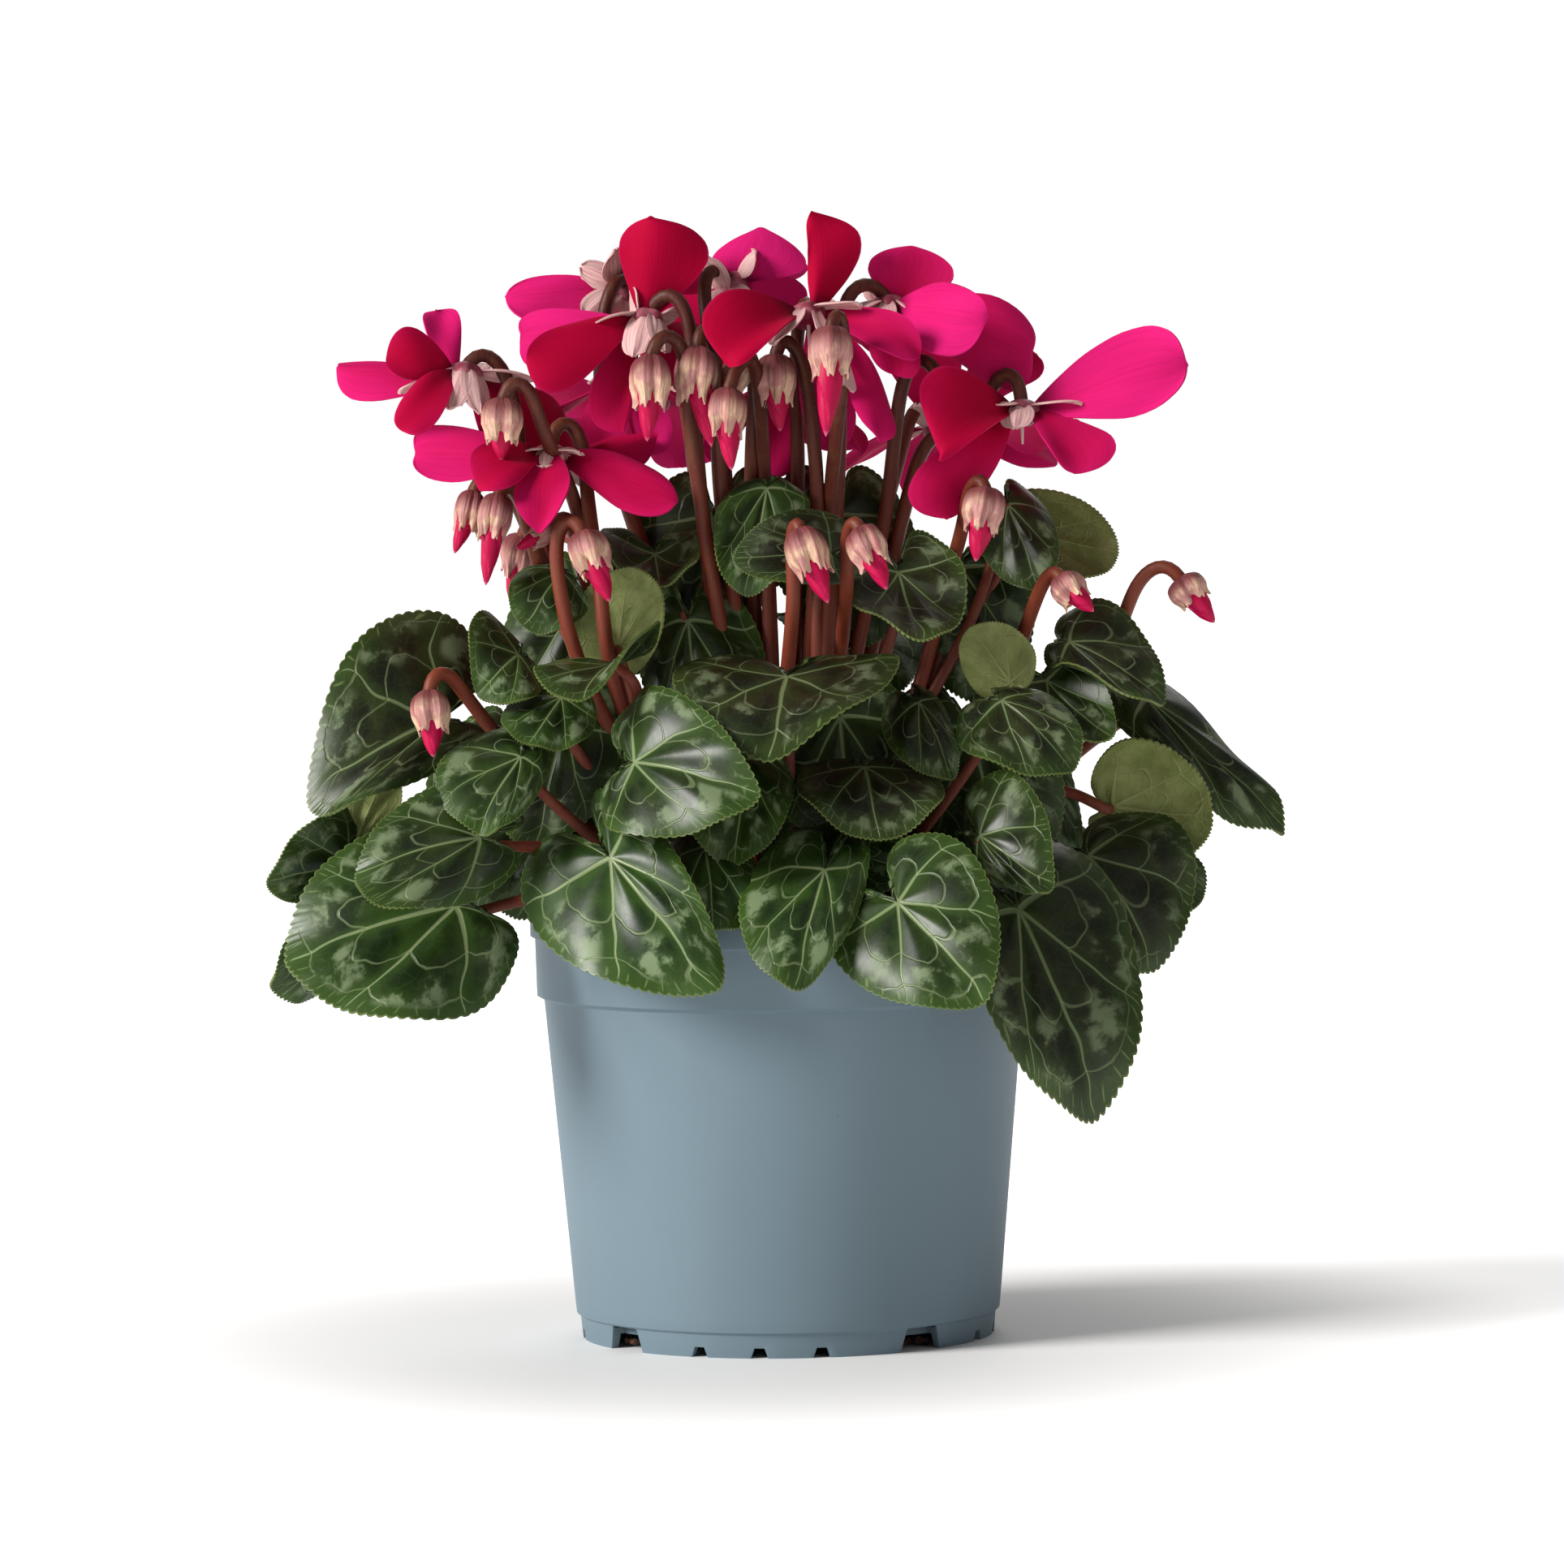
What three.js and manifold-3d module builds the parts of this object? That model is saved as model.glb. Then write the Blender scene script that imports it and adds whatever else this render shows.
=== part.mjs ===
// A cyclamen in a 12 cm nursery pot: millimetres, +Z up.
// The origin is the centre of the ring that the pot stands on. The front of the plant looks along -Y.
// Every blade (leaf or petal) is one formula, bladePoint, fed with four points of the real blade:
// where it is held, its tip, and the widest point of its left and right half, facing it with the tip down.
import * as THREE from "three";
import { mergeVertices } from "three/addons/utils/BufferGeometryUtils.js";
import Module from "manifold-3d";

const wasm = await Module();
wasm.setup();

// ---------- driving dimensions ----------
const CLEARANCE = 0.3; // between pieces that touch on the real plant

const POT_HEIGHT = 101.5;
const RIM_RADIUS = 60;
const BAND_RADIUS = 58.6; // the deeper band below the lip
const WALL_TOP_RADIUS = 56.9;
const WALL_FOOT_RADIUS = 50.3;
const FOOT_RADIUS = 48.9;
const FOOT_HEIGHT = 6; // the recessed foot ring that holds the drain notches
const LIP_BOTTOM = 95.5;
const BAND_BOTTOM = 81.5;
const WALL = 1.6;
const FLOOR_LEVEL = 5; // top of the pot's raised floor
const POT_SIDES = 32;

const SOIL_EDGE = 92; // height of the soil at the wall
const SOIL_CROWN = 95; // and round the tuber
const TUBER_RADIUS = 17;
const TUBER_TOP = 101;
const TUBER_BOTTOM = 82;

const LEAF_THICKNESS = 0.7;
const PETAL_THICKNESS = 0.7;
const SEPAL_THICKNESS = 0.8; // half of it, at the foot
const SEPAL_HALF = 2.8;
const WIDEST_LEAF = 0.2; // share of the midrib at which a leaf is widest
const WIDEST_PETAL = 0.62;
const CURL_START = 0.45; // share of a half's width that stays flat before it rolls
const LOBE_REACH = 0.37; // how far the drawn lobes reach behind the petiole, in midrib lengths
const PETIOLE_RADIUS = 1.35;
const SCAPE_RADIUS = 1.7;
const HUB_RADIUS = 4.2; // the corolla's short tube
const HUB_HALF = 2.5;
const STEM_SIDES = 3;
const BUD_SIDES = 5;
const MERGED = 0.12; // flatter than this, faces of a fused piece are one

// ---------- colours ----------
const finish = (color, roughness) =>
  new THREE.MeshStandardMaterial({ color, roughness, metalness: 0 });
const POT_PLASTIC = finish(0x7f919d, 0.55);
const PEAT = finish(0x3b261b, 0.95);
const STEM_SKIN = finish(0x5e2f27, 0.5);
const LEAF_GREEN = finish(0x2f5a35, 0.4);
const PETAL_RED = finish(0xc0103f, 0.5);

// ---------- solids ----------
function solid(geometry) {
  const bare = geometry.index ? geometry.toNonIndexed() : geometry.clone();
  bare.deleteAttribute("normal");
  bare.deleteAttribute("uv");
  const merged = mergeVertices(bare, 1e-3);
  return new wasm.Manifold(
    new wasm.Mesh({
      numProp: 3,
      vertProperties: new Float32Array(merged.attributes.position.array),
      triVerts: new Uint32Array(merged.index.array),
    }),
  );
}

function geometryOf(body) {
  const mesh = body.getMesh();
  return new THREE.BufferGeometry()
    .setAttribute("position", new THREE.BufferAttribute(mesh.vertProperties, 3))
    .setIndex(new THREE.BufferAttribute(mesh.triVerts, 1));
}

function geometryFrom(points, faces) {
  const flat = points.flatMap((p) => [p.x, p.y, p.z]);
  return new THREE.BufferGeometry()
    .setAttribute("position", new THREE.Float32BufferAttribute(flat, 3))
    .setIndex(faces.flat());
}

// Slivers cut loose and pockets closed off where pieces cross are left out.
const largest = (body) =>
  body.decompose().reduce((most, piece) => (piece.volume() > most.volume() ? piece : most));
const join = (bodies) => largest(bodies.reduce((sum, body) => sum.add(body)).simplify(MERGED));
const vec = (p) => new THREE.Vector3(...p);

function lathe(profile, sides) {
  const points = profile.map(([r, z]) => new THREE.Vector2(r, z));
  return new THREE.LatheGeometry(points, sides).rotateX(Math.PI / 2);
}

// A path whose stations keep to its control points, so that a hook gets more of them than a straight.
class StemPath extends THREE.CatmullRomCurve3 {
  getUtoTmapping(u) {
    return u;
  }
}

function tube(points, radius, sides) {
  const ring = Array.from({ length: sides }, (_, k) => {
    const angle = (2 * Math.PI * (k + 0.5)) / sides;
    return new THREE.Vector2(radius * Math.cos(angle), radius * Math.sin(angle));
  });
  const extrudePath = new StemPath(points, false, "centripetal");
  const steps = points.length - 1;
  return solid(new THREE.ExtrudeGeometry(new THREE.Shape(ring), { steps, extrudePath }));
}

// ---------- blades ----------
// Half outlines in blade units: along the midrib, and across it as a share of the half's width.
const LEAF_OUTLINE = [
  [1, 0], [0.95, 0.13], [0.85, 0.34], [0.7, 0.58], [0.5, 0.81], [0.28, 0.96], [0.05, 1],
  [-0.17, 0.9], [-0.32, 0.67], [-0.37, 0.42], [-0.29, 0.21], [-0.13, 0.11], [-0.03, 0],
];
const PETAL_OUTLINE = [
  [1, 0], [0.97, 0.26], [0.9, 0.6], [0.78, 0.92], [0.62, 1], [0.42, 0.8], [0.2, 0.46],
  [0.05, 0.2], [0, 0],
];

// shape = [arch, cup, back, curlLeft, curlRight]: how far the midrib bows out of its chord, how far the
// sides rise or droop, how far the lobes reach back, and how far round each side rolls (radians).
function bladeOf([at, tip, left, right, shape], widest) {
  const [arch, cup, back = LOBE_REACH, curlLeft = 0, curlRight = 0] = shape;
  const blade = { at: vec(at), arch, cup, back, curls: [curlLeft, curlRight] };
  blade.axis = vec(tip).sub(blade.at);
  const middle = blade.at.clone().addScaledVector(blade.axis, widest);
  blade.sides = [vec(left).sub(middle), vec(right).sub(middle)];
  blade.normal = new THREE.Vector3()
    .crossVectors(blade.axis, vec(right).sub(vec(left)))
    .normalize();
  return blade;
}

function bladePoint(blade, u, v) {
  const half = v < 0 ? 0 : 1;
  const along = u < 0 ? (u * blade.back) / LOBE_REACH : u;
  const width = blade.sides[half].length();
  const flat = CURL_START * width;
  const reach = Math.abs(v) * width;
  const curl = blade.curls[half];
  let across = reach;
  let up = 0;
  if (curl && reach > flat) {
    const radius = (width - flat) / curl;
    const turned = (reach - flat) / radius;
    across = flat + radius * Math.sin(turned);
    up = radius * (1 - Math.cos(turned));
  }
  up += blade.arch * 4 * along * (1 - along) + blade.cup * v * v;
  return blade.at
    .clone()
    .addScaledVector(blade.axis, along)
    .addScaledVector(blade.sides[half], across / width)
    .addScaledVector(blade.normal, up);
}

function bladeNormal(blade, u, v) {
  const step = 0.02;
  const side = v < 0 ? -step : step;
  const here = bladePoint(blade, u, v);
  const ahead = bladePoint(blade, u + step, v).sub(here);
  const across = bladePoint(blade, u, v + side).sub(here);
  if (v < 0) across.negate();
  return ahead.cross(across).normalize();
}

// A closed blade: a fan round a hub and a rim, every second point of it a notch, with the same triangles
// on both faces. A large blade has an inner ring of half as many points, so that it can bend.
function bladeSolid(blade, outline, { hub, ring, notch, points, thickness }) {
  const half = points / 2;
  const curve = new THREE.SplineCurve(outline.map(([u, v]) => new THREE.Vector2(u, v)));
  const rim = [];
  for (let i = 0; i < points; i++) {
    const share = i <= half ? i / half : (points - i) / half;
    const p = curve.getPointAt(share);
    const depth = i % 2 ? notch : 1;
    const v = (i <= half ? p.y : -p.y) * depth;
    rim.push([hub + (p.x - hub) * depth, v]);
  }
  const flat = [[hub, 0], ...rim];
  for (let i = 0; ring && i < points; i += 2)
    flat.push([hub + ring * (rim[i][0] - hub), ring * rim[i][1]]);
  const count = flat.length;
  const top = flat.map(([u, v]) => bladePoint(blade, u, v));
  const below = flat.map(([u, v], i) =>
    top[i].clone().addScaledVector(bladeNormal(blade, u, v), -thickness),
  );
  const faces = [];
  const both = (a, b, c) =>
    faces.push([a, b, c], [count + a, count + c, count + b]);
  const outer = (i) => 1 + (i % points);
  const inner = (i) => 1 + points + (i % half);
  for (let i = 0; !ring && i < points; i++) both(0, outer(i), outer(i + 1));
  for (let i = 0; ring && i < half; i++) {
    both(0, inner(i), inner(i + 1));
    both(inner(i), outer(2 * i), outer(2 * i + 1));
    both(inner(i), outer(2 * i + 1), inner(i + 1));
    both(inner(i + 1), outer(2 * i + 1), outer(2 * i + 2));
  }
  for (let i = 0; i < points; i++) {
    const a = outer(i);
    const b = outer(i + 1);
    faces.push([a, count + b, b], [a, count + a, count + b]);
  }
  return solid(geometryFrom([...top, ...below], faces));
}

const LEAF_MESH = { hub: 0.06, ring: 0.55, notch: 0.965, points: 18, thickness: LEAF_THICKNESS };
const BACK_LEAF_MESH = { ...LEAF_MESH, points: 16 };
const INNER_LEAF_MESH = { ...LEAF_MESH, points: 12 };
const PETAL_MESH = { hub: 0.55, ring: 0, notch: 1, points: 8, thickness: PETAL_THICKNESS };

// ---------- leaves: [name, at, tip, left, right, shape] ----------
const LEAVES = [
  ["leaf_01", [-40, -54, 119], [-14, -74, 88], [-54, -60, 97], [-26, -58, 121], [3, -2]],
  ["leaf_02", [11, -56, 115], [3, -77, 87], [-10, -64, 108], [18, -64, 107], [3, -2, 0.45]],
  ["leaf_03", [10, -37, 117], [30, -45, 112], [15, -45, 107], [22, -38, 124], [1, -1]],
  ["leaf_04", [25, -63, 107], [46, -79, 84], [15, -72, 90], [44, -65, 117], [3, -2, 0.3]],
  ["leaf_05", [44, -44, 120], [61, -58, 108], [49, -52, 110], [56, -44, 133], [2, -2]],
  ["leaf_06", [52, -46, 106], [71, -61, 56], [43, -59, 86], [80, -41, 102], [4, -3, 0.3]],
  ["leaf_07", [70, -19, 115], [87, -29, 88], [60, -33, 100], [95, -14, 118], [3, -2, 0.2]],
  ["leaf_08", [76, -1, 124], [101, -9, 120], [88, -9, 141], [86, -2, 110], [2, -3, 0.2]],
  ["leaf_09", [66, -10, 164], [90, -18, 150], [71, -20, 153], [80, -3, 171], [2, -1, 0.15, 1.6]],
  ["leaf_10", [84, 9, 152], [118, -2, 118], [94, -2, 133], [103, 14, 146], [2, -2]],
  ["leaf_11", [50, -28.5, 152], [67, -41, 136], [46, -43, 138], [66, -29, 150], [2, -2, 0.25]],
  ["leaf_12", [62, -12, 156], [77, -30, 143], [54, -24, 148], [74, -14, 156], [-2, 2, 0.12]],
  ["leaf_14", [28, -8, 182], [33, -36, 167], [14, -18, 178], [44, -20, 177], [-2, 3]],
  ["leaf_15", [2, -40, 157], [-3, -64, 138], [-25, -42, 158], [27, -42, 160], [3, -3, 0.45]],
  ["leaf_16", [-35, -50, 138], [-5, -70, 132], [-33, -65, 122], [-27, -47, 156], [3, -2, 0.2]],
  ["leaf_17", [-37, -36, 160], [-45, -54, 151], [-56, -42, 160], [-30, -38, 168], [2, 1]],
  ["leaf_18", [-38, -20, 162], [-35, -22, 182], [-48, -16, 172], [-26, -20, 172], [1, -2]],
  ["leaf_19", [-60, -28, 163], [-69, -40, 154], [-71, -29, 172], [-57, -41, 153], [2, -1]],
  ["leaf_20", [-50, -19, 183], [-59, -28, 170], [-62, -21, 181], [-46, -25, 171], [2, -1, 0.1]],
  ["leaf_21", [-77, -28, 147], [-109, -38, 129], [-92, -18, 172], [-89, -42, 132], [4, -2]],
  ["leaf_22", [-50, -35, 154], [-57, -48, 143], [-64, -41, 151], [-44, -43, 145], [1, -1]],
  ["leaf_23", [-58, -46, 141], [-68, -60, 123], [-79, -50, 139], [-57, -58, 131], [2, -2]],
  ["leaf_24", [-66, -54, 122], [-96, -62, 115], [-80, -52, 133], [-83, -68, 106], [3, -2]],
  ["leaf_25", [-72, -38, 106], [-114, -46, 94], [-94, -30, 123], [-82, -56, 80], [3, -2, 0.28]],
  ["leaf_26", [-100, -24, 115], [-118, -38, 111], [-106, -32, 127], [-109, -32, 106], [1, -1]],
  ["leaf_27", [-98, -14, 108], [-117, -20, 84], [-114, -24, 100], [-103, -10, 90], [2, -1]],
  ["leaf_28", [19, -36, 137], [22, -55, 121], [4, -46, 131], [38, -44, 131], [2, -2]],
  ["leaf_29", [32, -27, 152], [40, -38, 134], [26, -37, 140], [39.5, -32, 147], [2, -2]],
  ["leaf_30", [-8, -33, 140], [-10, -53, 116], [-24, -45, 130], [3, -43, 130], [2, -2, 0.25]],
  ["leaf_31", [-18, -46, 120], [-15, -64, 101], [-28, -56, 110], [-5, -56, 110], [2, -1]],
  ["leaf_32", [-29, -3, 186], [-27, -19, 179], [-41, -11, 187], [-18, -11, 187], [-2, 3, 0.25]],
  ["leaf_33", [-2, -10, 203], [-7, -23, 177], [-15, -19, 192], [7, -17, 192], [2, -1, 0.15]],
  ["leaf_34", [14, -22, 185], [-10, -30, 184], [5, -25, 196], [7, -29, 178], [2, -1]],
  ["leaf_35", [54, 0, 198], [61, -10, 177], [47, -4, 186], [66, -4, 190], [2, -1]],
  ["leaf_36", [57, 12, 190], [80, 5, 184], [70, 9, 198], [67, 6, 178], [1, -2]],
  ["leaf_37", [80, 7, 114], [96, 4, 99], [80, 0, 102], [99, 10, 112], [1, -1, 0.1]],
];
// Two leaves are folded: the part turned over is a blade of its own, fused to them.
const FOLDS = {
  leaf_12: [[55, -19, 153], [45, -17, 167], [44, -16, 155], [58, -17, 165], [1, -1, 0.2]],
  leaf_26: [[-101, -25, 116], [-92, -22, 137], [-106, -25, 124], [-90, -21, 124], [1, -1, 0.2]],
};

// Leaves deep in the clump, which show dark between the others. Each is fused to its own stalk.
const INNER_LEAVES = [
  ["inner_01", [-50, -25, 148], [-58, -31, 118], [-68, -27, 138], [-37, -27, 136], [2, -2]],
  ["inner_02", [-50, -18, 126], [-62, -24, 102], [-70, -18, 118], [-40, -22, 112], [2, -2]],
  ["inner_03", [-22, -12, 173], [-19, -21, 142], [-33, -15, 158], [-3, -16, 158], [2, -2]],
  ["inner_04", [-15, 8, 197], [-20, 3, 164], [-38, 6, 182], [4, 6, 186], [2, -2]],
  ["inner_05", [14, 8, 197], [18, 3, 163], [-2, 6, 184], [34, 5, 183], [2, -2]],
  ["inner_06", [43, 3, 184], [47, -3, 150], [28, 1, 171], [61, 1, 172], [2, -2, 0.15]],
  ["inner_07", [-46, 3, 178], [-51, -2, 146], [-66, 1, 165], [-31, 0, 165], [2, -2]],
  ["inner_08", [14, -18, 150], [16, -26, 117], [-5, -22, 136], [33, -22, 136], [2, -2]],
  ["inner_09", [44, -6, 147], [52, -15, 112], [28, -11, 132], [67, -10, 130], [2, -2]],
  ["inner_10", [-12, -16, 145], [-14, -25, 112], [-32, -20, 132], [6, -20, 130], [2, -2]],
  ["inner_11", [59, -1, 139], [66, -5, 109], [50, -6, 121], [71, -2, 126], [2, -2, 0.2]],
  ["inner_12", [-64, -4, 142], [-72, -10, 112], [-84, -6, 132], [-53, -7, 131], [2, -2]],
];

// ---------- the far side: leaves by rule, in three tiers round the back ----------
// A blade of the low tier and the one above it touch, as do the two halves of each top pair.
const BACK_DEPTH = 0.82; // the clump is this much shallower than it is wide
const BACK_FIRST = 25; // degrees round from +X
const BACK_STEP = 26.5;
const BACK_STAGGER = 9; // every second pair sits this much lower
const LOW = { reach: 62, fall: 36, high: 127, drop: 30, half: 17, back: 0.3 };
const MIDDLE = { reach: 42, fall: 36, high: 141, drop: 27, half: 16, back: 0.2 };
const TOP = { reach: 30, fall: 32, high: 171, drop: 20, half: 16, back: 0.02 };

function backRow({ reach, fall, high, drop, half, back }, degrees, lower = 0) {
  const turn = THREE.MathUtils.degToRad(degrees);
  const out = new THREE.Vector3(Math.cos(turn), BACK_DEPTH * Math.sin(turn), 0);
  const across = new THREE.Vector3(-Math.sin(turn), BACK_DEPTH * Math.cos(turn), 0).setLength(half);
  const at = out.clone().multiplyScalar(reach).setZ(high - lower);
  const tip = out.clone().multiplyScalar(reach + fall).setZ(high - drop - lower);
  const middle = at.clone().lerp(tip, WIDEST_LEAF);
  const [left, right] = [middle.clone().sub(across), middle.clone().add(across)];
  return [...[at, tip, left, right].map((p) => p.toArray()), [3, -2, back]];
}

const BACK_LEAVES = [0, 1, 2, 3, 4, 5].map((i) => {
  const degrees = BACK_FIRST + BACK_STEP * i;
  const lower = i % 2 ? BACK_STAGGER : 0;
  return [`leaf_${38 + i}`, backRow(LOW, degrees, lower), backRow(MIDDLE, degrees, lower)];
});
BACK_LEAVES.push(
  ["leaf_44", backRow(TOP, 38), backRow(TOP, 62)],
  ["leaf_45", backRow(TOP, 117), backRow(TOP, 141)],
);

// ---------- blooms ----------
// [name, throat, mouth direction, petals, sepal tips]; a petal is [tip, left, right, shape].
const BLOOMS = [
  ["bloom_a", [-73, -10, 228], [-0.1, -0.35, -0.93],
    [
      [[-80, 4, 244], [-75, 4, 239], [-83, 0, 238], [1, 1]],
      [[-91, -16, 233], [-84, -13, 239], [-86, -18, 227], [2, -1]],
      [[-103, -6, 231], [-94, -8, 222], [-94, -4, 231], [-2, 1]],
      [[-88, -28, 216], [-85, -21, 226], [-79, -28, 217], [2, -1]],
      [[-49, 9, 206], [-68, -1, 210], [-52, 14, 222], [2, -2]],
    ],
    [[-88, -14, 224], [-76, -22, 220], [-69, -21, 219], [-57, -6, 227], [-70, 2, 231]],
  ],
  ["bloom_b", [-53, -16, 208.5], [0, -0.3, -0.95],
    [
      [[-85, -6, 210], [-76, -8, 203], [-76, -2, 216], [-2, 1]],
      [[-69, -34, 201], [-68, -24, 213], [-60, -34, 203], [2, -2]],
      [[-55, -36, 191], [-61, -30, 202], [-48, -30, 203], [2, -1]],
      [[-23, -26, 198], [-36, -28, 196], [-34, -18, 209], [2, -1]],
      [[-28, -5, 214], [-37, -8, 206], [-38, -1, 213], [1, -1]],
    ],
    [[-60, -20, 209], [-54, -25, 206], [-46, -21, 209], [-43, -14, 201], [-55, -8, 208]],
  ],
  ["bloom_c", [-30, -10, 240], [-0.1, -0.45, -0.88],
    [
      [[-29, -4, 265], [-16, 0, 254], [-37, -2, 256], [2, 2]],
      [[-58, -24, 231], [-49, -17, 240], [-47, -27, 226], [2, -2]],
      [[-60, -4, 238], [-51, -6, 229], [-52, 0, 243], [-2, 1]],
      [[-36, -19, 214], [-43, -17, 225], [-33, -16, 223], [2, -1]],
      [[-13, 15, 231], [-24, 3, 225], [-18, 12, 240], [2, -1]],
    ],
    [[-43, -15, 239], [-33, -21, 232], [-26, -19, 233], [-34, -7, 248], [-22, -8, 242]],
  ],
  ["bloom_d", [-36, 14, 249], [-0.1, 0.8, -0.55],
    [
      [[-64, 12, 247], [-54, 8, 240], [-54, 14, 252], [-2, 1]],
      [[-48, 8, 234], [-52, 10, 240], [-40, 8, 236], [1, -1]],
      [[-28, 22, 262], [-36, 20, 258], [-22, 18, 256], [-2, 1]],
      [[-17, 32, 254], [-24, 28, 258], [-21, 28, 247], [-2, 1]],
      [[-36, 40, 236], [-26, 32, 240], [-44, 34, 240], [-2, 1]],
    ],
    [[-45, 4, 242], [-38, 6, 258], [-28, 10, 254], [-32, 14, 240], [-46, 14, 254]],
  ],
  ["bloom_e", [-10, 14, 249], [0.5, 0.5, -0.7],
    [
      [[-3, 16, 263], [-15, 14, 255], [7, 14, 253], [-2, 2]],
      [[8, 24, 246], [2, 18, 252], [2, 22, 240], [2, -1]],
      [[-14, 26, 232], [-18, 22, 238], [-6, 24, 236], [2, -1]],
      [[-15, 42, 243], [-17, 36, 237], [-11, 34, 248], [-2, 1]],
      [[2, 42, 256], [-4, 34, 260], [4, 34, 250], [-2, 1]],
    ],
    [[-16, 8, 256], [-16, 9, 245], [-8, 7, 243], [-4, 12, 257], [-16, 20, 252]],
  ],
  ["bloom_f", [8, -8, 241], [0, -0.4, -0.92],
    [
      [[-11, -28, 229], [-13, -22, 246], [-2, -29, 234], [2, -2]],
      [[9, 0, 266], [19, 4, 255], [7, -2, 254], [1, 1]],
      [[34, -18, 231], [24, -22, 233], [27, -14, 241], [2, -1]],
      [[24, -22, 211], [18, -22, 223], [27, -16, 224], [1, -1]],
      [[13, -2, 209], [6, -6, 222], [18, 0, 222], [1, -1]],
    ],
    [[18, -26, 223], [20, -16, 243], [0, -19, 234], [-2, -4, 240], [12, 2, 245]],
  ],
  ["bloom_g", [27, 6, 243], [0.1, -0.2, -0.97],
    [
      [[33, 12, 258], [42, 10, 249], [22, 8, 252], [2, 2]],
      [[50, -12, 240], [42, -8, 248], [38, -14, 231], [-2, 1]],
      [[61, 4, 232], [50, -2, 225], [53, 6, 245], [2, -1]],
      [[28, -12, 227], [22, -8, 234], [34, -10, 232], [1, -1]],
      [[20, 34, 236], [30, 24, 234], [16, 22, 242], [2, -1]],
    ],
    [[18, 0, 242], [24, -6, 236], [36, 2, 240], [24, 12, 250], [34, 14, 244]],
  ],
  ["bloom_h", [58, -6, 217.5], [0, -0.3, -0.95],
    [
      [[38, -28, 208], [38, -20, 228], [46, -28, 211], [2, -2]],
      [[40, -18, 193], [33, -16, 204], [52, -12, 205], [2, -1]],
      [[70, -20, 203], [62, -18, 210], [78, -14, 211], [2, -1]],
      [[97, -8, 228], [82, -2, 236], [84, -12, 216], [-2, 1]],
      [[66, 22, 210], [72, 10, 214], [54, 14, 212], [2, -1]],
    ],
    [[50, -12, 219], [56, -16, 214], [72, -10, 219], [66, 2, 220], [52, 3, 219]],
  ],
  ["bloom_i", [-35, 12, 228], [0, -0.2, -0.98],
    [
      [[-42, 2, 207], [-47, 4, 217], [-35, 2, 217], [1, -1]],
      [[-29, 2, 209], [-35, 4, 218], [-25, 4, 217], [1, -1]],
      [[-14, 18, 216], [-20, 12, 222], [-22, 22, 220], [1, -1]],
      [[-34, 34, 212], [-40, 26, 218], [-27, 28, 218], [1, -1]],
      [[-58, 18, 214], [-50, 22, 220], [-50, 12, 220], [1, -1]],
    ],
    [[-44, 8, 226], [-37, 3, 226], [-27, 7, 226], [-30, 20, 227], [-42, 18, 227]],
  ],
  ["bloom_j", [2, 16, 226], [0, -0.2, -0.98],
    [
      [[0, 4, 203], [-7, 6, 215], [7, 6, 214], [1, -1]],
      [[-12, 8, 207], [-16, 12, 215], [-7, 6, 215], [1, -1]],
      [[20, 10, 208], [15, 6, 216], [18, 16, 218], [1, -1]],
      [[12, 38, 210], [20, 28, 216], [4, 30, 216], [1, -1]],
      [[-16, 34, 214], [-8, 32, 218], [-14, 24, 220], [1, -1]],
    ],
    [[-6, 10, 225], [2, 6, 224], [11, 12, 225], [6, 25, 226], [-5, 23, 226]],
  ],
  ["bloom_k", [-30, 44, 222], [-0.1, 0.35, -0.93],
    [
      [[-58, 42, 226], [-50, 48, 219], [-50, 36, 230], [-2, 1]],
      [[-48, 62, 212], [-38, 64, 216], [-50, 54, 222], [2, -1]],
      [[-24, 70, 206], [-14, 64, 214], [-32, 64, 212], [2, -1]],
      [[-8, 58, 236], [-8, 50, 228], [-18, 60, 240], [2, -1]],
      [[-24, 42, 252], [-34, 42, 244], [-14, 44, 243], [2, 1]],
    ],
    [[-40, 40, 222], [-34, 54, 220], [-22, 52, 221], [-22, 40, 226], [-32, 36, 228]],
  ],
  ["bloom_l", [40, 40, 214], [0.15, 0.3, -0.93],
    [
      [[16, 50, 204], [24, 56, 208], [22, 42, 212], [2, -1]],
      [[40, 66, 198], [48, 60, 206], [30, 60, 206], [2, -1]],
      [[68, 48, 208], [60, 40, 204], [58, 54, 216], [2, -1]],
      [[62, 26, 232], [60, 32, 224], [50, 24, 232], [-2, 1]],
      [[36, 44, 244], [26, 42, 234], [46, 44, 234], [2, 1]],
    ],
    [[31, 46, 212], [44, 50, 210], [50, 40, 214], [44, 30, 218], [34, 32, 220]],
  ],
];

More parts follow.
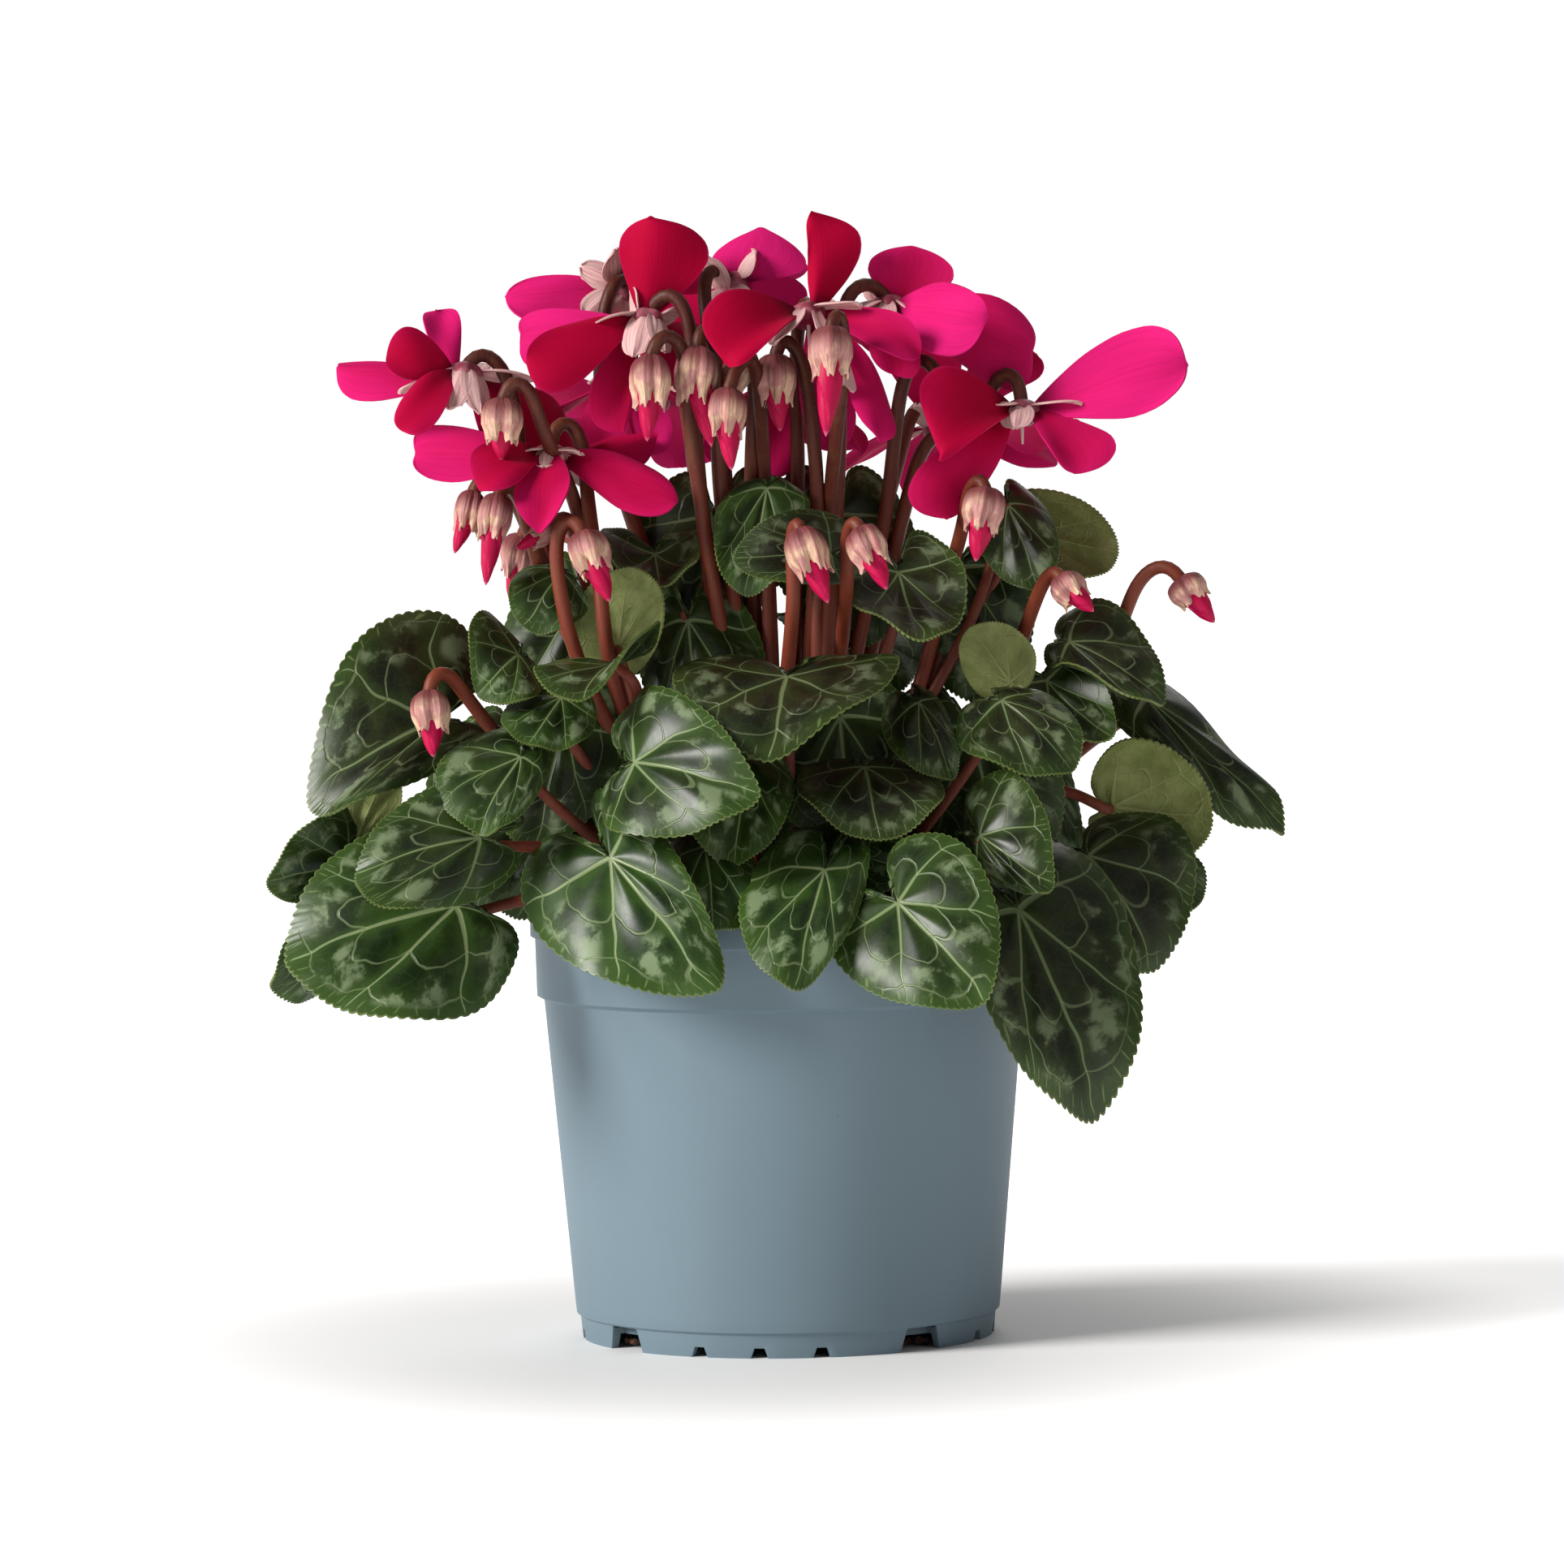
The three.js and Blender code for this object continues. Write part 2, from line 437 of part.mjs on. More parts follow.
// ---------- buds: [name, top, tip of the calyx, tip of the rolled petals, calyx radius] ----------
const BUDS = [
  ["bud_01", [-29, -26, 232], [-29, -29, 219], [-30, -30, 212], 4.4],
  ["bud_02", [-18, -20, 234], [-19, -23, 220], [-15, -25, 210.5], 4.6],
  ["bud_03", [-11, -24, 224], [-12, -27, 212], [-10.5, -28, 205], 4.2],
  ["bud_04", [0, -12, 232], [0, -14, 219.5], [1, -14, 214], 4.4],
  ["bud_05", [13, -28, 238], [13, -32, 225], [11.5, -34, 212.5], 4.7],
  ["bud_06", [-7, -10, 232], [-11, -13, 223], [-13, -14, 220], 3.4],
  ["bud_07", [-63.5, -27, 222.5], [-64, -28, 211.5], [-64, -28, 208], 4.4],
  ["bud_08", [-71, -20, 201], [-73, -22, 191], [-75.5, -23, 186.5], 3.2],
  ["bud_09", [-65, -26, 200], [-67, -29, 189], [-68, -30, 179], 3.8],
  ["bud_10", [-53, -20, 192], [-58, -24, 189], [-61, -25, 187.5], 2.6],
  ["bud_11", [-45, -34, 191], [-42, -38, 181], [-39, -39, 175], 4.5],
  ["bud_12", [5, -36, 191], [9, -40, 180], [11.5, -41, 174], 4.6],
  ["bud_13", [19, -38, 191], [23, -42, 182], [25, -43, 177], 4.3],
  ["bud_14", [49, -24, 200], [47, -27, 189], [46, -28, 183], 4.6],
  ["bud_15", [66, -22, 179], [70, -25, 173], [73.5, -26, 171], 3.9],
  ["bud_16", [95, -4, 178], [99, -5, 172], [103, -5, 167.5], 4.3],
  ["bud_17", [-81, -43, 155], [-80, -46, 145], [-80, -47, 140], 4.2],
  ["bud_18", [20, 58, 198], [22, 62, 187], [23, 63, 180], 4.4],
  ["bud_19", [-62, 40, 190], [-64, 44, 180], [-65, 46, 173], 4.2],
  ["bud_20", [38.5, -10, 227], [39, -12, 217], [39, -13, 211], 3.8],
];

// ---------- flower stalks: what each carries, then its way up from the tuber ----------
const SCAPES = [
  ["bloom_a", [-44, -2, 160], [-59, -4, 200], [-62.5, -6, 226], [-68, -8, 234.5], [-72, -9, 233]],
  ["bloom_b", [-33, -18, 140], [-39.5, -26.5, 160], [-41.5, -28, 178], [-44.5, -15, 200],
    [-46, -12, 214], [-49.5, -12.5, 218.5], [-52.5, -14.5, 215.5]],
  ["bloom_c", [-15, -8, 170], [-19, -13, 215], [-20, -13, 240], [-23.5, -12, 248], [-28, -10.5, 246]],
  ["bloom_d", [-28, 2, 170], [-34, 6, 192], [-41, 6, 215], [-41, 5, 238], [-39, 6, 249], [-35.5, 9, 252.5]],
  ["bloom_e", [-10, 3, 170], [-13, 2, 215], [-16, 2, 240], [-16.5, 6, 252.5], [-13.5, 9.5, 254]],
  ["bloom_f", [5, 3, 200], [5, 2, 230], [6, 0, 242], [8, -4, 246]],
  ["bloom_g", [12, -2, 170], [15, -4, 212], [15.5, -3, 238], [17.5, -1, 247], [21, 1.5, 249.5],
    [25.5, 6, 248]],
  ["bloom_h", [24, 4, 170], [31, 4, 198], [36, 4, 212], [48, 0, 218], [52, -3, 226],
    [55.5, -4.5, 229], [58, -5, 224]],
  ["bloom_i", [-26, 3, 170], [-36, 11, 200], [-40, 13, 224], [-38.5, 13, 233], [-35.3, 12.6, 233]],
  ["bloom_j", [-2, 8, 170], [-3, 12, 200], [-4, 16, 222], [-2, 16.8, 231], [1.8, 16.7, 231]],
  ["bloom_k", [-10, 8, 165], [-18, 24, 192], [-22, 38, 222], [-24.5, 40, 230], [-29, 42.5, 228]],
  ["bloom_l", [12, 8, 165], [24, 22, 190], [31, 34, 212], [34, 36.5, 221], [38.5, 38.8, 220]],
  ["bud_01", [-14, -12, 170], [-20, -18, 215], [-21, -21, 232], [-22.5, -23, 236.5],
    [-25.5, -24.5, 238], [-28.3, -25.8, 236]],
  ["bud_02", [-10, -9, 170], [-13.5, -8, 202], [-14, -15, 230], [-15, -17, 239], [-17.5, -19.5, 239.5]],
  ["bud_03", [-2, -3, 170], [-3, -2, 205], [-4, -14, 225], [-5, -18, 232], [-8.5, -21.5, 231]],
  ["bud_04", [8, -4, 170], [9.5, -7, 200], [8.5, -9, 215], [6.5, -9.5, 230], [3.5, -10, 236.5],
    [0.8, -11.5, 236.5]],
  ["bud_05", [12, -5, 170], [12.5, -6, 197], [15.5, -22, 225], [16, -25, 238], [15.3, -26, 243],
    [13.6, -27.5, 242]],
  ["bud_06", [-6, 0, 180], [-6, -2, 205], [-5, -8, 230], [-6.2, -9.5, 234.5]],
  ["bud_07", [-38, -9, 160], [-48, -14, 200], [-54, -24, 214], [-57.5, -26, 225.5],
    [-60.5, -27, 228], [-63, -27, 226]],
  ["bud_08", [-46, -8, 165], [-57, -12, 188], [-62, -16, 200], [-66, -18, 204.5], [-70, -19.5, 204.5]],
  ["bud_09", [-46, -12, 160], [-56, -14, 183], [-59, -19, 195], [-61, -22, 201.5], [-64, -25, 203]],
  ["bud_10", [-40, -8, 165], [-46, -10, 182], [-48, -14, 193], [-50, -17, 195.5]],
  ["bud_11", [-34, -20, 135], [-48, -29, 165], [-51.5, -31, 188], [-50, -32, 194], [-47, -33.5, 195]],
  ["bud_12", [-1, -14, 130], [1, -19, 150], [3.5, -32, 176], [3.6, -34, 192], [5, -35.5, 194]],
  ["bud_13", [8, -8, 135], [14, -11, 160], [16, -30, 179], [16.5, -35.5, 192], [18.3, -37.5, 194]],
  ["bud_14", [30, -4, 145], [40, -3, 178], [43.5, -12, 191], [45.5, -21, 201], [48, -23.5, 203.5]],
  ["bud_15", [44, -4, 135], [55, -6, 158], [59.5, -12, 171], [62.5, -18, 178.5], [65, -21, 181.5]],
  ["bud_16", [56, -2, 135], [80, 1, 165], [85, 0, 177], [89.5, -2, 181.5], [93.5, -3.7, 181]],
  ["bud_17", [-50, -22, 125], [-68, -31, 147], [-75, -38, 157], [-77.5, -41, 160], [-80.5, -42.7, 158.5]],
  ["bud_18", [5, 9, 165], [12, 32, 188], [16.5, 50, 199], [18, 54, 202.5]],
  ["bud_19", [-20, 5, 160], [-29, 8, 177], [-47, 26, 188], [-58, 36, 193], [-60.5, 39, 194.5]],
  ["bud_20", [18, 0, 160], [26, 2, 196], [28, 0, 212], [30, -4, 225], [33, -7, 231.5],
    [36.5, -9, 231]],
];

// ---------- pot ----------
const POT_PROFILE = [
  [0, FLOOR_LEVEL - WALL],
  [FOOT_RADIUS - 2, FLOOR_LEVEL - WALL],
  [FOOT_RADIUS - 2, 0],
  [FOOT_RADIUS, 0],
  [FOOT_RADIUS + 0.6, FOOT_HEIGHT - 0.6],
  [WALL_FOOT_RADIUS, FOOT_HEIGHT],
  [WALL_TOP_RADIUS, BAND_BOTTOM - 1],
  [BAND_RADIUS, BAND_BOTTOM],
  [BAND_RADIUS + 0.3, LIP_BOTTOM - 0.7],
  [RIM_RADIUS, LIP_BOTTOM],
  [RIM_RADIUS, POT_HEIGHT - 0.6],
  [RIM_RADIUS - 1.4, POT_HEIGHT],
  [BAND_RADIUS - WALL, LIP_BOTTOM],
  [BAND_RADIUS - WALL, BAND_BOTTOM + 1],
  [WALL_TOP_RADIUS - WALL, BAND_BOTTOM - 1],
  [WALL_FOOT_RADIUS - WALL, FLOOR_LEVEL],
  [0, FLOOR_LEVEL],
];
// Drain notches in the foot repeat every quarter turn: one wide and three small.
const WIDE_NOTCH = { turn: -51, half: 6.2, top: 4.4, height: 5.6 };
const SMALL_NOTCHES = [-25, -8, 9].map((turn) => ({ turn, half: 2.4, top: 1.2, height: 2.4 }));
const NOTCH_INNER = 45.4;
const NOTCH_LENGTH = 8;

function notch({ turn, half, top, height }, quarter) {
  const outline = new THREE.Shape([
    new THREE.Vector2(-half, -1),
    new THREE.Vector2(half, -1),
    new THREE.Vector2(top, height),
    new THREE.Vector2(-top, height),
  ]);
  const cutter = new THREE.ExtrudeGeometry(outline, { depth: NOTCH_LENGTH, bevelEnabled: false });
  // drawn standing across the radius at the front, then turned round the pot
  cutter.rotateX(Math.PI / 2).translate(0, -NOTCH_INNER, 0);
  return solid(cutter.rotateZ(THREE.MathUtils.degToRad(turn + 90 * quarter)));
}

function pot() {
  let body = solid(lathe(POT_PROFILE, POT_SIDES));
  for (let quarter = 0; quarter < 4; quarter++)
    for (const cut of [WIDE_NOTCH, ...SMALL_NOTCHES]) body = body.subtract(notch(cut, quarter));
  return body;
}

// ---------- soil, with a plain hollow for the tuber ----------
const TUBER_PROFILE = [
  [0, TUBER_BOTTOM],
  [9, 83.5],
  [15, 88],
  [TUBER_RADIUS, 93],
  [15, 98],
  [9, TUBER_TOP - 0.6],
  [0, TUBER_TOP],
];
const SOIL_PROFILE = [
  [0, FLOOR_LEVEL + CLEARANCE],
  [WALL_FOOT_RADIUS - WALL - 1.6, FLOOR_LEVEL + CLEARANCE],
  [WALL_FOOT_RADIUS - WALL - 0.6, FOOT_HEIGHT + 1],
  [WALL_TOP_RADIUS - WALL - 0.8, BAND_BOTTOM - 2],
  [BAND_RADIUS - WALL - 0.7, BAND_BOTTOM + 3],
  [BAND_RADIUS - WALL - 0.7, SOIL_EDGE],
  [42, SOIL_EDGE + 1.5],
  [28, SOIL_EDGE + 1],
  [TUBER_RADIUS + 0.5, SOIL_CROWN],
  [TUBER_RADIUS + 0.5, 92.8],
  [15.5, 87.6],
  [9.3, 83],
  [0, TUBER_BOTTOM - 0.5],
];
const SOIL_SIDES = 16;

// ---------- blooms ----------
// Where a petal or sepal leaves the hub: on a ring round its axis, on the side of the blade's tip.
function rootOn(centre, facing, tip, radius) {
  const way = tip.clone().sub(centre).projectOnPlane(facing);
  return centre.clone().add(way.setLength(radius));
}

// A sepal is a flat spike from the top of the hub, lying along the petals.
function sepal(calyx, facing, tip) {
  const at = rootOn(calyx, facing, tip, HUB_RADIUS - 2);
  const way = tip.clone().sub(at);
  const length = way.length();
  const across = way.clone().cross(facing).normalize();
  const out = across.clone().cross(way).normalize();
  const spike = new THREE.ConeGeometry(SEPAL_HALF, length, 4).scale(1, 1, SEPAL_THICKNESS / SEPAL_HALF);
  spike.applyMatrix4(new THREE.Matrix4().makeBasis(across, way.normalize(), out));
  return solid(spike.translate(...at.clone().addScaledVector(way, length / 2).toArray()));
}

function bloom([, throat, mouth, petals, sepals]) {
  const centre = vec(throat);
  const facing = vec(mouth).normalize();
  const turn = new THREE.Quaternion().setFromUnitVectors(new THREE.Vector3(0, 0, 1), facing);
  const hub = new THREE.CylinderGeometry(HUB_RADIUS - 0.7, HUB_RADIUS, 2 * HUB_HALF, 6)
    .rotateX(Math.PI / 2)
    .applyQuaternion(turn)
    .translate(...throat);
  const bodies = [solid(hub)];
  for (const [tip, ...rest] of petals) {
    const at = rootOn(centre, facing, vec(tip), HUB_RADIUS - 1.4);
    const row = [at.toArray(), tip, ...rest];
    bodies.push(bladeSolid(bladeOf(row, WIDEST_PETAL), PETAL_OUTLINE, PETAL_MESH));
  }
  const calyx = centre.clone().addScaledVector(facing, -1.2);
  for (const tip of sepals) bodies.push(sepal(calyx, facing, vec(tip)));
  return join(bodies);
}

// The point on top of a bloom's hub where its stalk ends.
function stalkEnd([, throat, mouth]) {
  const facing = vec(mouth).normalize();
  return vec(throat).addScaledVector(facing, -(HUB_HALF + CLEARANCE + 0.1));
}

// ---------- the stems and buds, grown from the tuber as one body ----------
function budSolid([, top, calyx, tip, radius]) {
  const [from, mid, end] = [vec(top), vec(calyx), vec(tip)];
  const length = from.distanceTo(mid);
  const reach = from.distanceTo(end);
  const way = end.clone().sub(from).normalize();
  const turn = new THREE.Quaternion().setFromUnitVectors(new THREE.Vector3(0, 0, 1), way);
  const profile = [
    [0, -0.6],
    [radius * 0.7, 0.4],
    [radius, length * 0.4],
    [radius * 0.72, length],
    [radius * 0.4, length],
    [0, reach],
  ];
  return solid(lathe(profile, BUD_SIDES).applyQuaternion(turn).translate(...from.toArray()));
}

// Stems and buds with the room that petals leave round them.
function stemRoom(reach) {
  const bodies = SCAPES.map((row) => scape(row, SCAPE_RADIUS + reach));
  for (const [name, top, calyx, tip, radius] of BUDS)
    bodies.push(budSolid([name, top, calyx, tip, radius + reach]));
  return join(bodies);
}

const ends = new Map();
for (const row of BLOOMS) ends.set(row[0], stalkEnd(row));
for (const row of BUDS) ends.set(row[0], vec(row[1]));

// The further out a stem goes, the further out on the tuber it starts, so that few of them cross.
function crownRoot(target, inner, spread) {
  const out = new THREE.Vector3(target.x, target.y, 0);
  out.setLength(Math.min(inner + spread * out.length(), TUBER_RADIUS - 3.5));
  return out.setZ(TUBER_TOP - 5);
}

function scape([target, ...way], radius = SCAPE_RADIUS) {
  const via = way.map(vec);
  return tube([crownRoot(via[0], 0, 0.16), ...via, ends.get(target)], radius, STEM_SIDES);
}

const PETIOLE_WAYS = {
  leaf_02: [[2, -34, 104]],
  leaf_04: [[14, -26, 102.5], [21, -46, 103.5]],
  leaf_06: [[30, -25, 116], [44, -37, 113]],
  leaf_08: [[56, -4, 128], [68, -4, 128]],
  leaf_15: [[2, -22, 128], [2, -28, 145]],
  leaf_17: [[-26, -22, 125], [-33, -27, 146]],
  leaf_10: [[48, -3, 118], [72, 2, 138]],
  leaf_14: [[22, -3, 150]],
  leaf_26: [[-70, -10, 119], [-90, -16, 118]],
  leaf_27: [[-74, 2, 114], [-90, 0, 116]],
  leaf_35: [[24, -3, 130], [46, -3, 170]],
  leaf_36: [[22, -1, 130], [46, 0, 168]],
  leaf_37: [[46, -3, 112], [66, 1, 112]],
  inner_06: [[34, -1, 150], [41, 1, 168]],
  inner_11: [[36, -3, 118], [52, -2, 132]],
};

const UNDER_BLADE = LEAF_THICKNESS + CLEARANCE + 0.3;

function petiole(name, row, below = UNDER_BLADE) {
  const blade = bladeOf(row, WIDEST_LEAF);
  const normal = bladeNormal(blade, 0.06, 0.001);
  const end = bladePoint(blade, 0.06, 0).addScaledVector(normal, -below);
  const before = end.clone().addScaledVector(normal, -5);
  const root = crownRoot(end, 8, 0.05);
  const out = new THREE.Vector3(end.x, end.y, 0).normalize();
  const middle = root.clone().lerp(before, 0.5).addScaledVector(out, 2);
  middle.z += before.z < 125 ? 8 : -0.04 * before.distanceTo(root);
  const way = (PETIOLE_WAYS[name] ?? [middle.toArray()]).map(vec);
  return tube([root, ...way, before, end], PETIOLE_RADIUS, STEM_SIDES);
}

function crown() {
  const bodies = [solid(lathe(TUBER_PROFILE, 12))];
  for (const row of SCAPES) bodies.push(scape(row));
  for (const row of BUDS) bodies.push(budSolid(row));
  for (const [name, ...row] of LEAVES) bodies.push(petiole(name, row));
  for (const [name, ...rows] of BACK_LEAVES) for (const row of rows) bodies.push(petiole(name, row));
  for (const [name, ...row] of INNER_LEAVES)
    bodies.push(petiole(name, row, 0.4), bladeSolid(bladeOf(row, WIDEST_LEAF), LEAF_OUTLINE, INNER_LEAF_MESH));
  return join(bodies);
}

// ---------- assembly ----------
const plant = new THREE.Group();

function add(name, body, material) {
  const mesh = new THREE.Mesh(geometryOf(body), material);
  mesh.name = name;
  plant.add(mesh);
}

add("pot", pot(), POT_PLASTIC);
add("soil", solid(lathe(SOIL_PROFILE, SOIL_SIDES)), PEAT);
add("crown", crown(), STEM_SKIN);
const leafBlade = (mesh) => (row) => bladeSolid(bladeOf(row, WIDEST_LEAF), LEAF_OUTLINE, mesh);
for (const [name, ...row] of LEAVES) {
  const rows = FOLDS[name] ? [row, FOLDS[name]] : [row];
  add(name, join(rows.map(leafBlade(LEAF_MESH))), LEAF_GREEN);
}
for (const [name, ...rows] of BACK_LEAVES)
  add(name, join(rows.map(leafBlade(BACK_LEAF_MESH))), LEAF_GREEN);
const room = stemRoom(CLEARANCE + 0.2);
for (const row of BLOOMS) add(row[0], largest(bloom(row).subtract(room).simplify(MERGED)), PETAL_RED);

export default plant;
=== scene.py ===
# %% [markdown]
# # A cyclamen in a nursery pot
# The packed solids are the plant's fixed frame: every leaf, stalk, bloom and the pot stand where they are.
# Each cell below dresses one of them with the real shape and finish: smooth pot, crumbly peat, toothed and
# marbled leaves, round stalks, buds and silky petals. All sizes are in millimetres until a mesh is written.

# %% Load the frame
import math

import bpy
import numpy as np
from mathutils import Matrix, Vector, noise


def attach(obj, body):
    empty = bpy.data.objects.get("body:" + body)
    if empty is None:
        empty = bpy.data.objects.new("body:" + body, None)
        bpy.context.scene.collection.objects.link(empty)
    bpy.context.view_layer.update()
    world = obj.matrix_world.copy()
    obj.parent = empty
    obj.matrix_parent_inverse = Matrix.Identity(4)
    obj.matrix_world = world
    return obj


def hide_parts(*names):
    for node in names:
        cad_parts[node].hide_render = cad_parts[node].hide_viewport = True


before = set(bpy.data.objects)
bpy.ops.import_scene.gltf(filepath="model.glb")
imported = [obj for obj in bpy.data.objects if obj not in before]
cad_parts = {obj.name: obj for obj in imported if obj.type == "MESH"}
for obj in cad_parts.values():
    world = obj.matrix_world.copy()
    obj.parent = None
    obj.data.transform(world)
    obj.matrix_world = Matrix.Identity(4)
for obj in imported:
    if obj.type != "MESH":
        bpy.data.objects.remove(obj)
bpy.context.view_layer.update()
MM = 0.001
bpy.ops.object.select_all(action="DESELECT")

# %% [markdown]
# ## The eye
# A plant of this size is photographed from about 1.6 m with a long lens, at the height of its leaves, so
# that the pot's rim is a shallow ellipse. The picture leans by less than a degree, and so does the camera.

# %% Camera
EYE = Vector((0, -1.6, 0.2029))
LOOKED_AT = Vector((0.00024, 0, 0.1306))
LEAN = math.radians(0.8)
LENS = 155.0


def set_up_camera():
    bpy.ops.object.camera_add(location=EYE)
    camera = bpy.context.object
    ahead = (LOOKED_AT - EYE).normalized()
    right = ahead.cross(Vector((0, 0, 1))).normalized()
    up = right.cross(ahead)
    across = right * math.cos(LEAN) - up * math.sin(LEAN)
    over = right * math.sin(LEAN) + up * math.cos(LEAN)
    turn = Matrix((across, over, -ahead)).transposed()
    camera.rotation_euler = turn.to_euler()
    camera.data.lens = LENS
    camera.data.clip_end = 50
    bpy.context.scene.camera = camera
    return camera


print("camera lens:", set_up_camera().data.lens, "mm")

# %% [markdown]
# ## Light and floor
# A product picture of a plant is taken on white, with one broad soft light from the front left, so that the
# pot turns dark towards its right side. A weak warm lamp stands at the right, and one behind lights the
# petals. The surround shows white and gives only a little light of its own.

# %% Lamps
SURROUND = 0.22
PLANT_MIDDLE = Vector((0, 0, 0.15))
LAMPS = [  # name, kind, place in metres, settings
    ("Sun", "SUN", (-1.38, -0.68, 0.92), dict(energy=4.3, angle=math.radians(24), color=(1, 0.975, 0.95))),
    ("fill", "AREA", (0.9, -1.4, 0.7), dict(energy=1, size=0.6, color=(1, 0.86, 0.78))),
    ("back", "AREA", (0.3, 1.4, 1.2), dict(energy=6, size=1, color=(1, 0.97, 0.95))),
]


def hang_lamp(name, kind, place, settings):
    """A lamp that is aimed at the plant."""
    bpy.ops.object.light_add(type=kind, location=place)
    lamp = bpy.context.object
    lamp.name = name
    for key, value in settings.items():
        setattr(lamp.data, key, value)
    lamp.rotation_euler = (PLANT_MIDDLE - Vector(place)).to_track_quat("-Z", "Y").to_euler()


def surround_paint(world):
    """White where the eye looks past the plant, dimmer where it lights it."""
    world.use_nodes = True
    tree = world.node_tree
    glow = tree.nodes["Background"]
    glow.inputs["Color"].default_value = (1, 1, 1, 1)
    ray = tree.nodes.new("ShaderNodeLightPath")
    share = tree.nodes.new("ShaderNodeMapRange")
    share.inputs["To Min"].default_value = SURROUND
    share.inputs["To Max"].default_value = 1.0
    tree.links.new(ray.outputs["Is Camera Ray"], share.inputs["Value"])
    tree.links.new(share.outputs["Result"], glow.inputs["Strength"])
    return world


for row in LAMPS:
    hang_lamp(*row)
bpy.context.scene.world = surround_paint(bpy.data.worlds.new("surround"))
bpy.context.scene.view_settings.view_transform = "Standard"
print("lamps:", len(LAMPS))

# %% [markdown]
# ## Paint by sums
# A finish is written as a sum: a Wire is one output of a node, and + - * / on it add the Math nodes. A
# Finish is one material; node() takes a node's type, its settings and what goes into its sockets.


# %% Wires
class Wire:
    """One output of a node that takes part in sums."""

    def __init__(self, finish, socket):
        self.finish, self.socket = finish, socket

    def maths(self, operation, *values):
        return self.finish.node("ShaderNodeMath", {"operation": operation}, *values)

    def __add__(self, other):
        return self.maths("ADD", self, other)

    def __sub__(self, other):
        return self.maths("SUBTRACT", self, other)

    def __rsub__(self, other):
        return self.maths("SUBTRACT", other, self)

    def __mul__(self, other):
        return self.maths("MULTIPLY", self, other)

    def __truediv__(self, other):
        return self.maths("DIVIDE", self, other)

    def __abs__(self):
        return self.maths("ABSOLUTE", self)

    __radd__, __rmul__ = __add__, __mul__

    def most(self, other):
        return self.maths("MAXIMUM", self, other)

    def near(self):
        """Distance to the nearest whole number, from 0 to a half."""
        return self.maths("PINGPONG", self, 0.5)

    def rise(self, low, high):
        """0 below low, 1 above high, and a soft step between them."""
        soft = {"interpolation_type": "SMOOTHSTEP"}
        return self.finish.node("ShaderNodeMapRange", soft, self, low, high, 0.0, 1.0)

    def fall(self, low, high):
        return 1 - self.rise(low, high)


print("Wire:", Wire.__doc__)

# %% [markdown]
# ## Finishes
# Every surface of the plant has a pattern: grain, veins or streaks. A painted image would serve one piece
# and blur close by, so each pattern is worked out in the material instead, from the place on the piece or
# from its map. A Finish is one such material, with short names for the nodes it needs.


# %% Finishes
class Finish:
    """A material, built node by node round one skin shader."""

    def __init__(self, name, roughness=0.5, gloss=0.4):
        self.material = bpy.data.materials.new(name)
        self.material.use_nodes = True
        self.tree = self.material.node_tree
        self.skin = self.tree.nodes["Principled BSDF"]
        self.skin.inputs["Roughness"].default_value = roughness
        self.skin.inputs["Specular IOR Level"].default_value = gloss

    def node(self, kind, settings=None, *values, out=0, **named):
        made = self.tree.nodes.new(kind)
        for key, value in (settings or {}).items():
            setattr(made, key, value)
        for key, value in [*enumerate(values), *named.items()]:
            self.put(value, made.inputs[key])
        return Wire(self, made.outputs[out])

    def put(self, value, socket):
        """A wire is linked to the socket, a number or a colour is set on it."""
        if isinstance(value, Wire):
            self.tree.links.new(value.socket, socket)
        else:
            socket.default_value = value

    def blend(self, share, first, second):
        """The second colour over the first; the sockets of a Mix node go by number for colours."""
        made = self.node("ShaderNodeMix", {"data_type": "RGBA"}, share, out=2)
        for key, value in ((6, first), (7, second)):
            self.put(value, made.socket.node.inputs[key])
        return made

    def layers(self, base, *coats):
        """Colours over a base, one after the other, each as (how much of it, #RRGGBB)."""
        for share, code in coats:
            base = self.blend(share, base, dye(code))
        return base

    def place(self):
        return self.node("ShaderNodeTexCoord", out="Object")

    def laid(self, name):
        return self.node("ShaderNodeUVMap", {"uv_map": name})

    def value(self, name):
        return self.node("ShaderNodeAttribute", {"attribute_name": name}, out="Fac")

    def split(self, wire):
        """Its x, y and z."""
        made = self.node("ShaderNodeSeparateXYZ", None, wire).socket.node
        return [Wire(self, socket) for socket in made.outputs]

    def stretch(self, wire, x, y, z=1.0):
        return self.node("ShaderNodeVectorMath", {"operation": "MULTIPLY"}, wire, (x, y, z))

    def cloud(self, wire, scale, detail=2.0, roughness=0.5):
        named = {"Scale": scale, "Detail": detail, "Roughness": roughness}
        return self.node("ShaderNodeTexNoise", None, wire, **named)

    def cells(self, wire, scale, feature="DISTANCE_TO_EDGE"):
        return self.node("ShaderNodeTexVoronoi", {"feature": feature}, wire, Scale=scale)

    def emboss(self, height, deep, strength=1.0):
        named = {"Strength": strength, "Distance": deep, "Height": height}
        return self.node("ShaderNodeBump", None, **named)

    def wear(self, **sockets):
        """Puts wires or numbers on the skin: colour, roughness, normal, glow."""
        named = {"colour": "Base Color", "glow": "Emission Color"}
        for key, value in sockets.items():
            self.put(value, self.skin.inputs[named.get(key, key.title())])
        return self.material


def dye(code):
    """A colour as it looks on a screen, #RRGGBB, as the light values that shaders use."""
    shares = [int(code[i : i + 2], 16) / 255 for i in (1, 3, 5)]
    return (*[c / 12.92 if c < 0.04045 else ((c + 0.055) / 1.055) ** 2.4 for c in shares], 1.0)


print("white is", dye("#FFFFFF"))

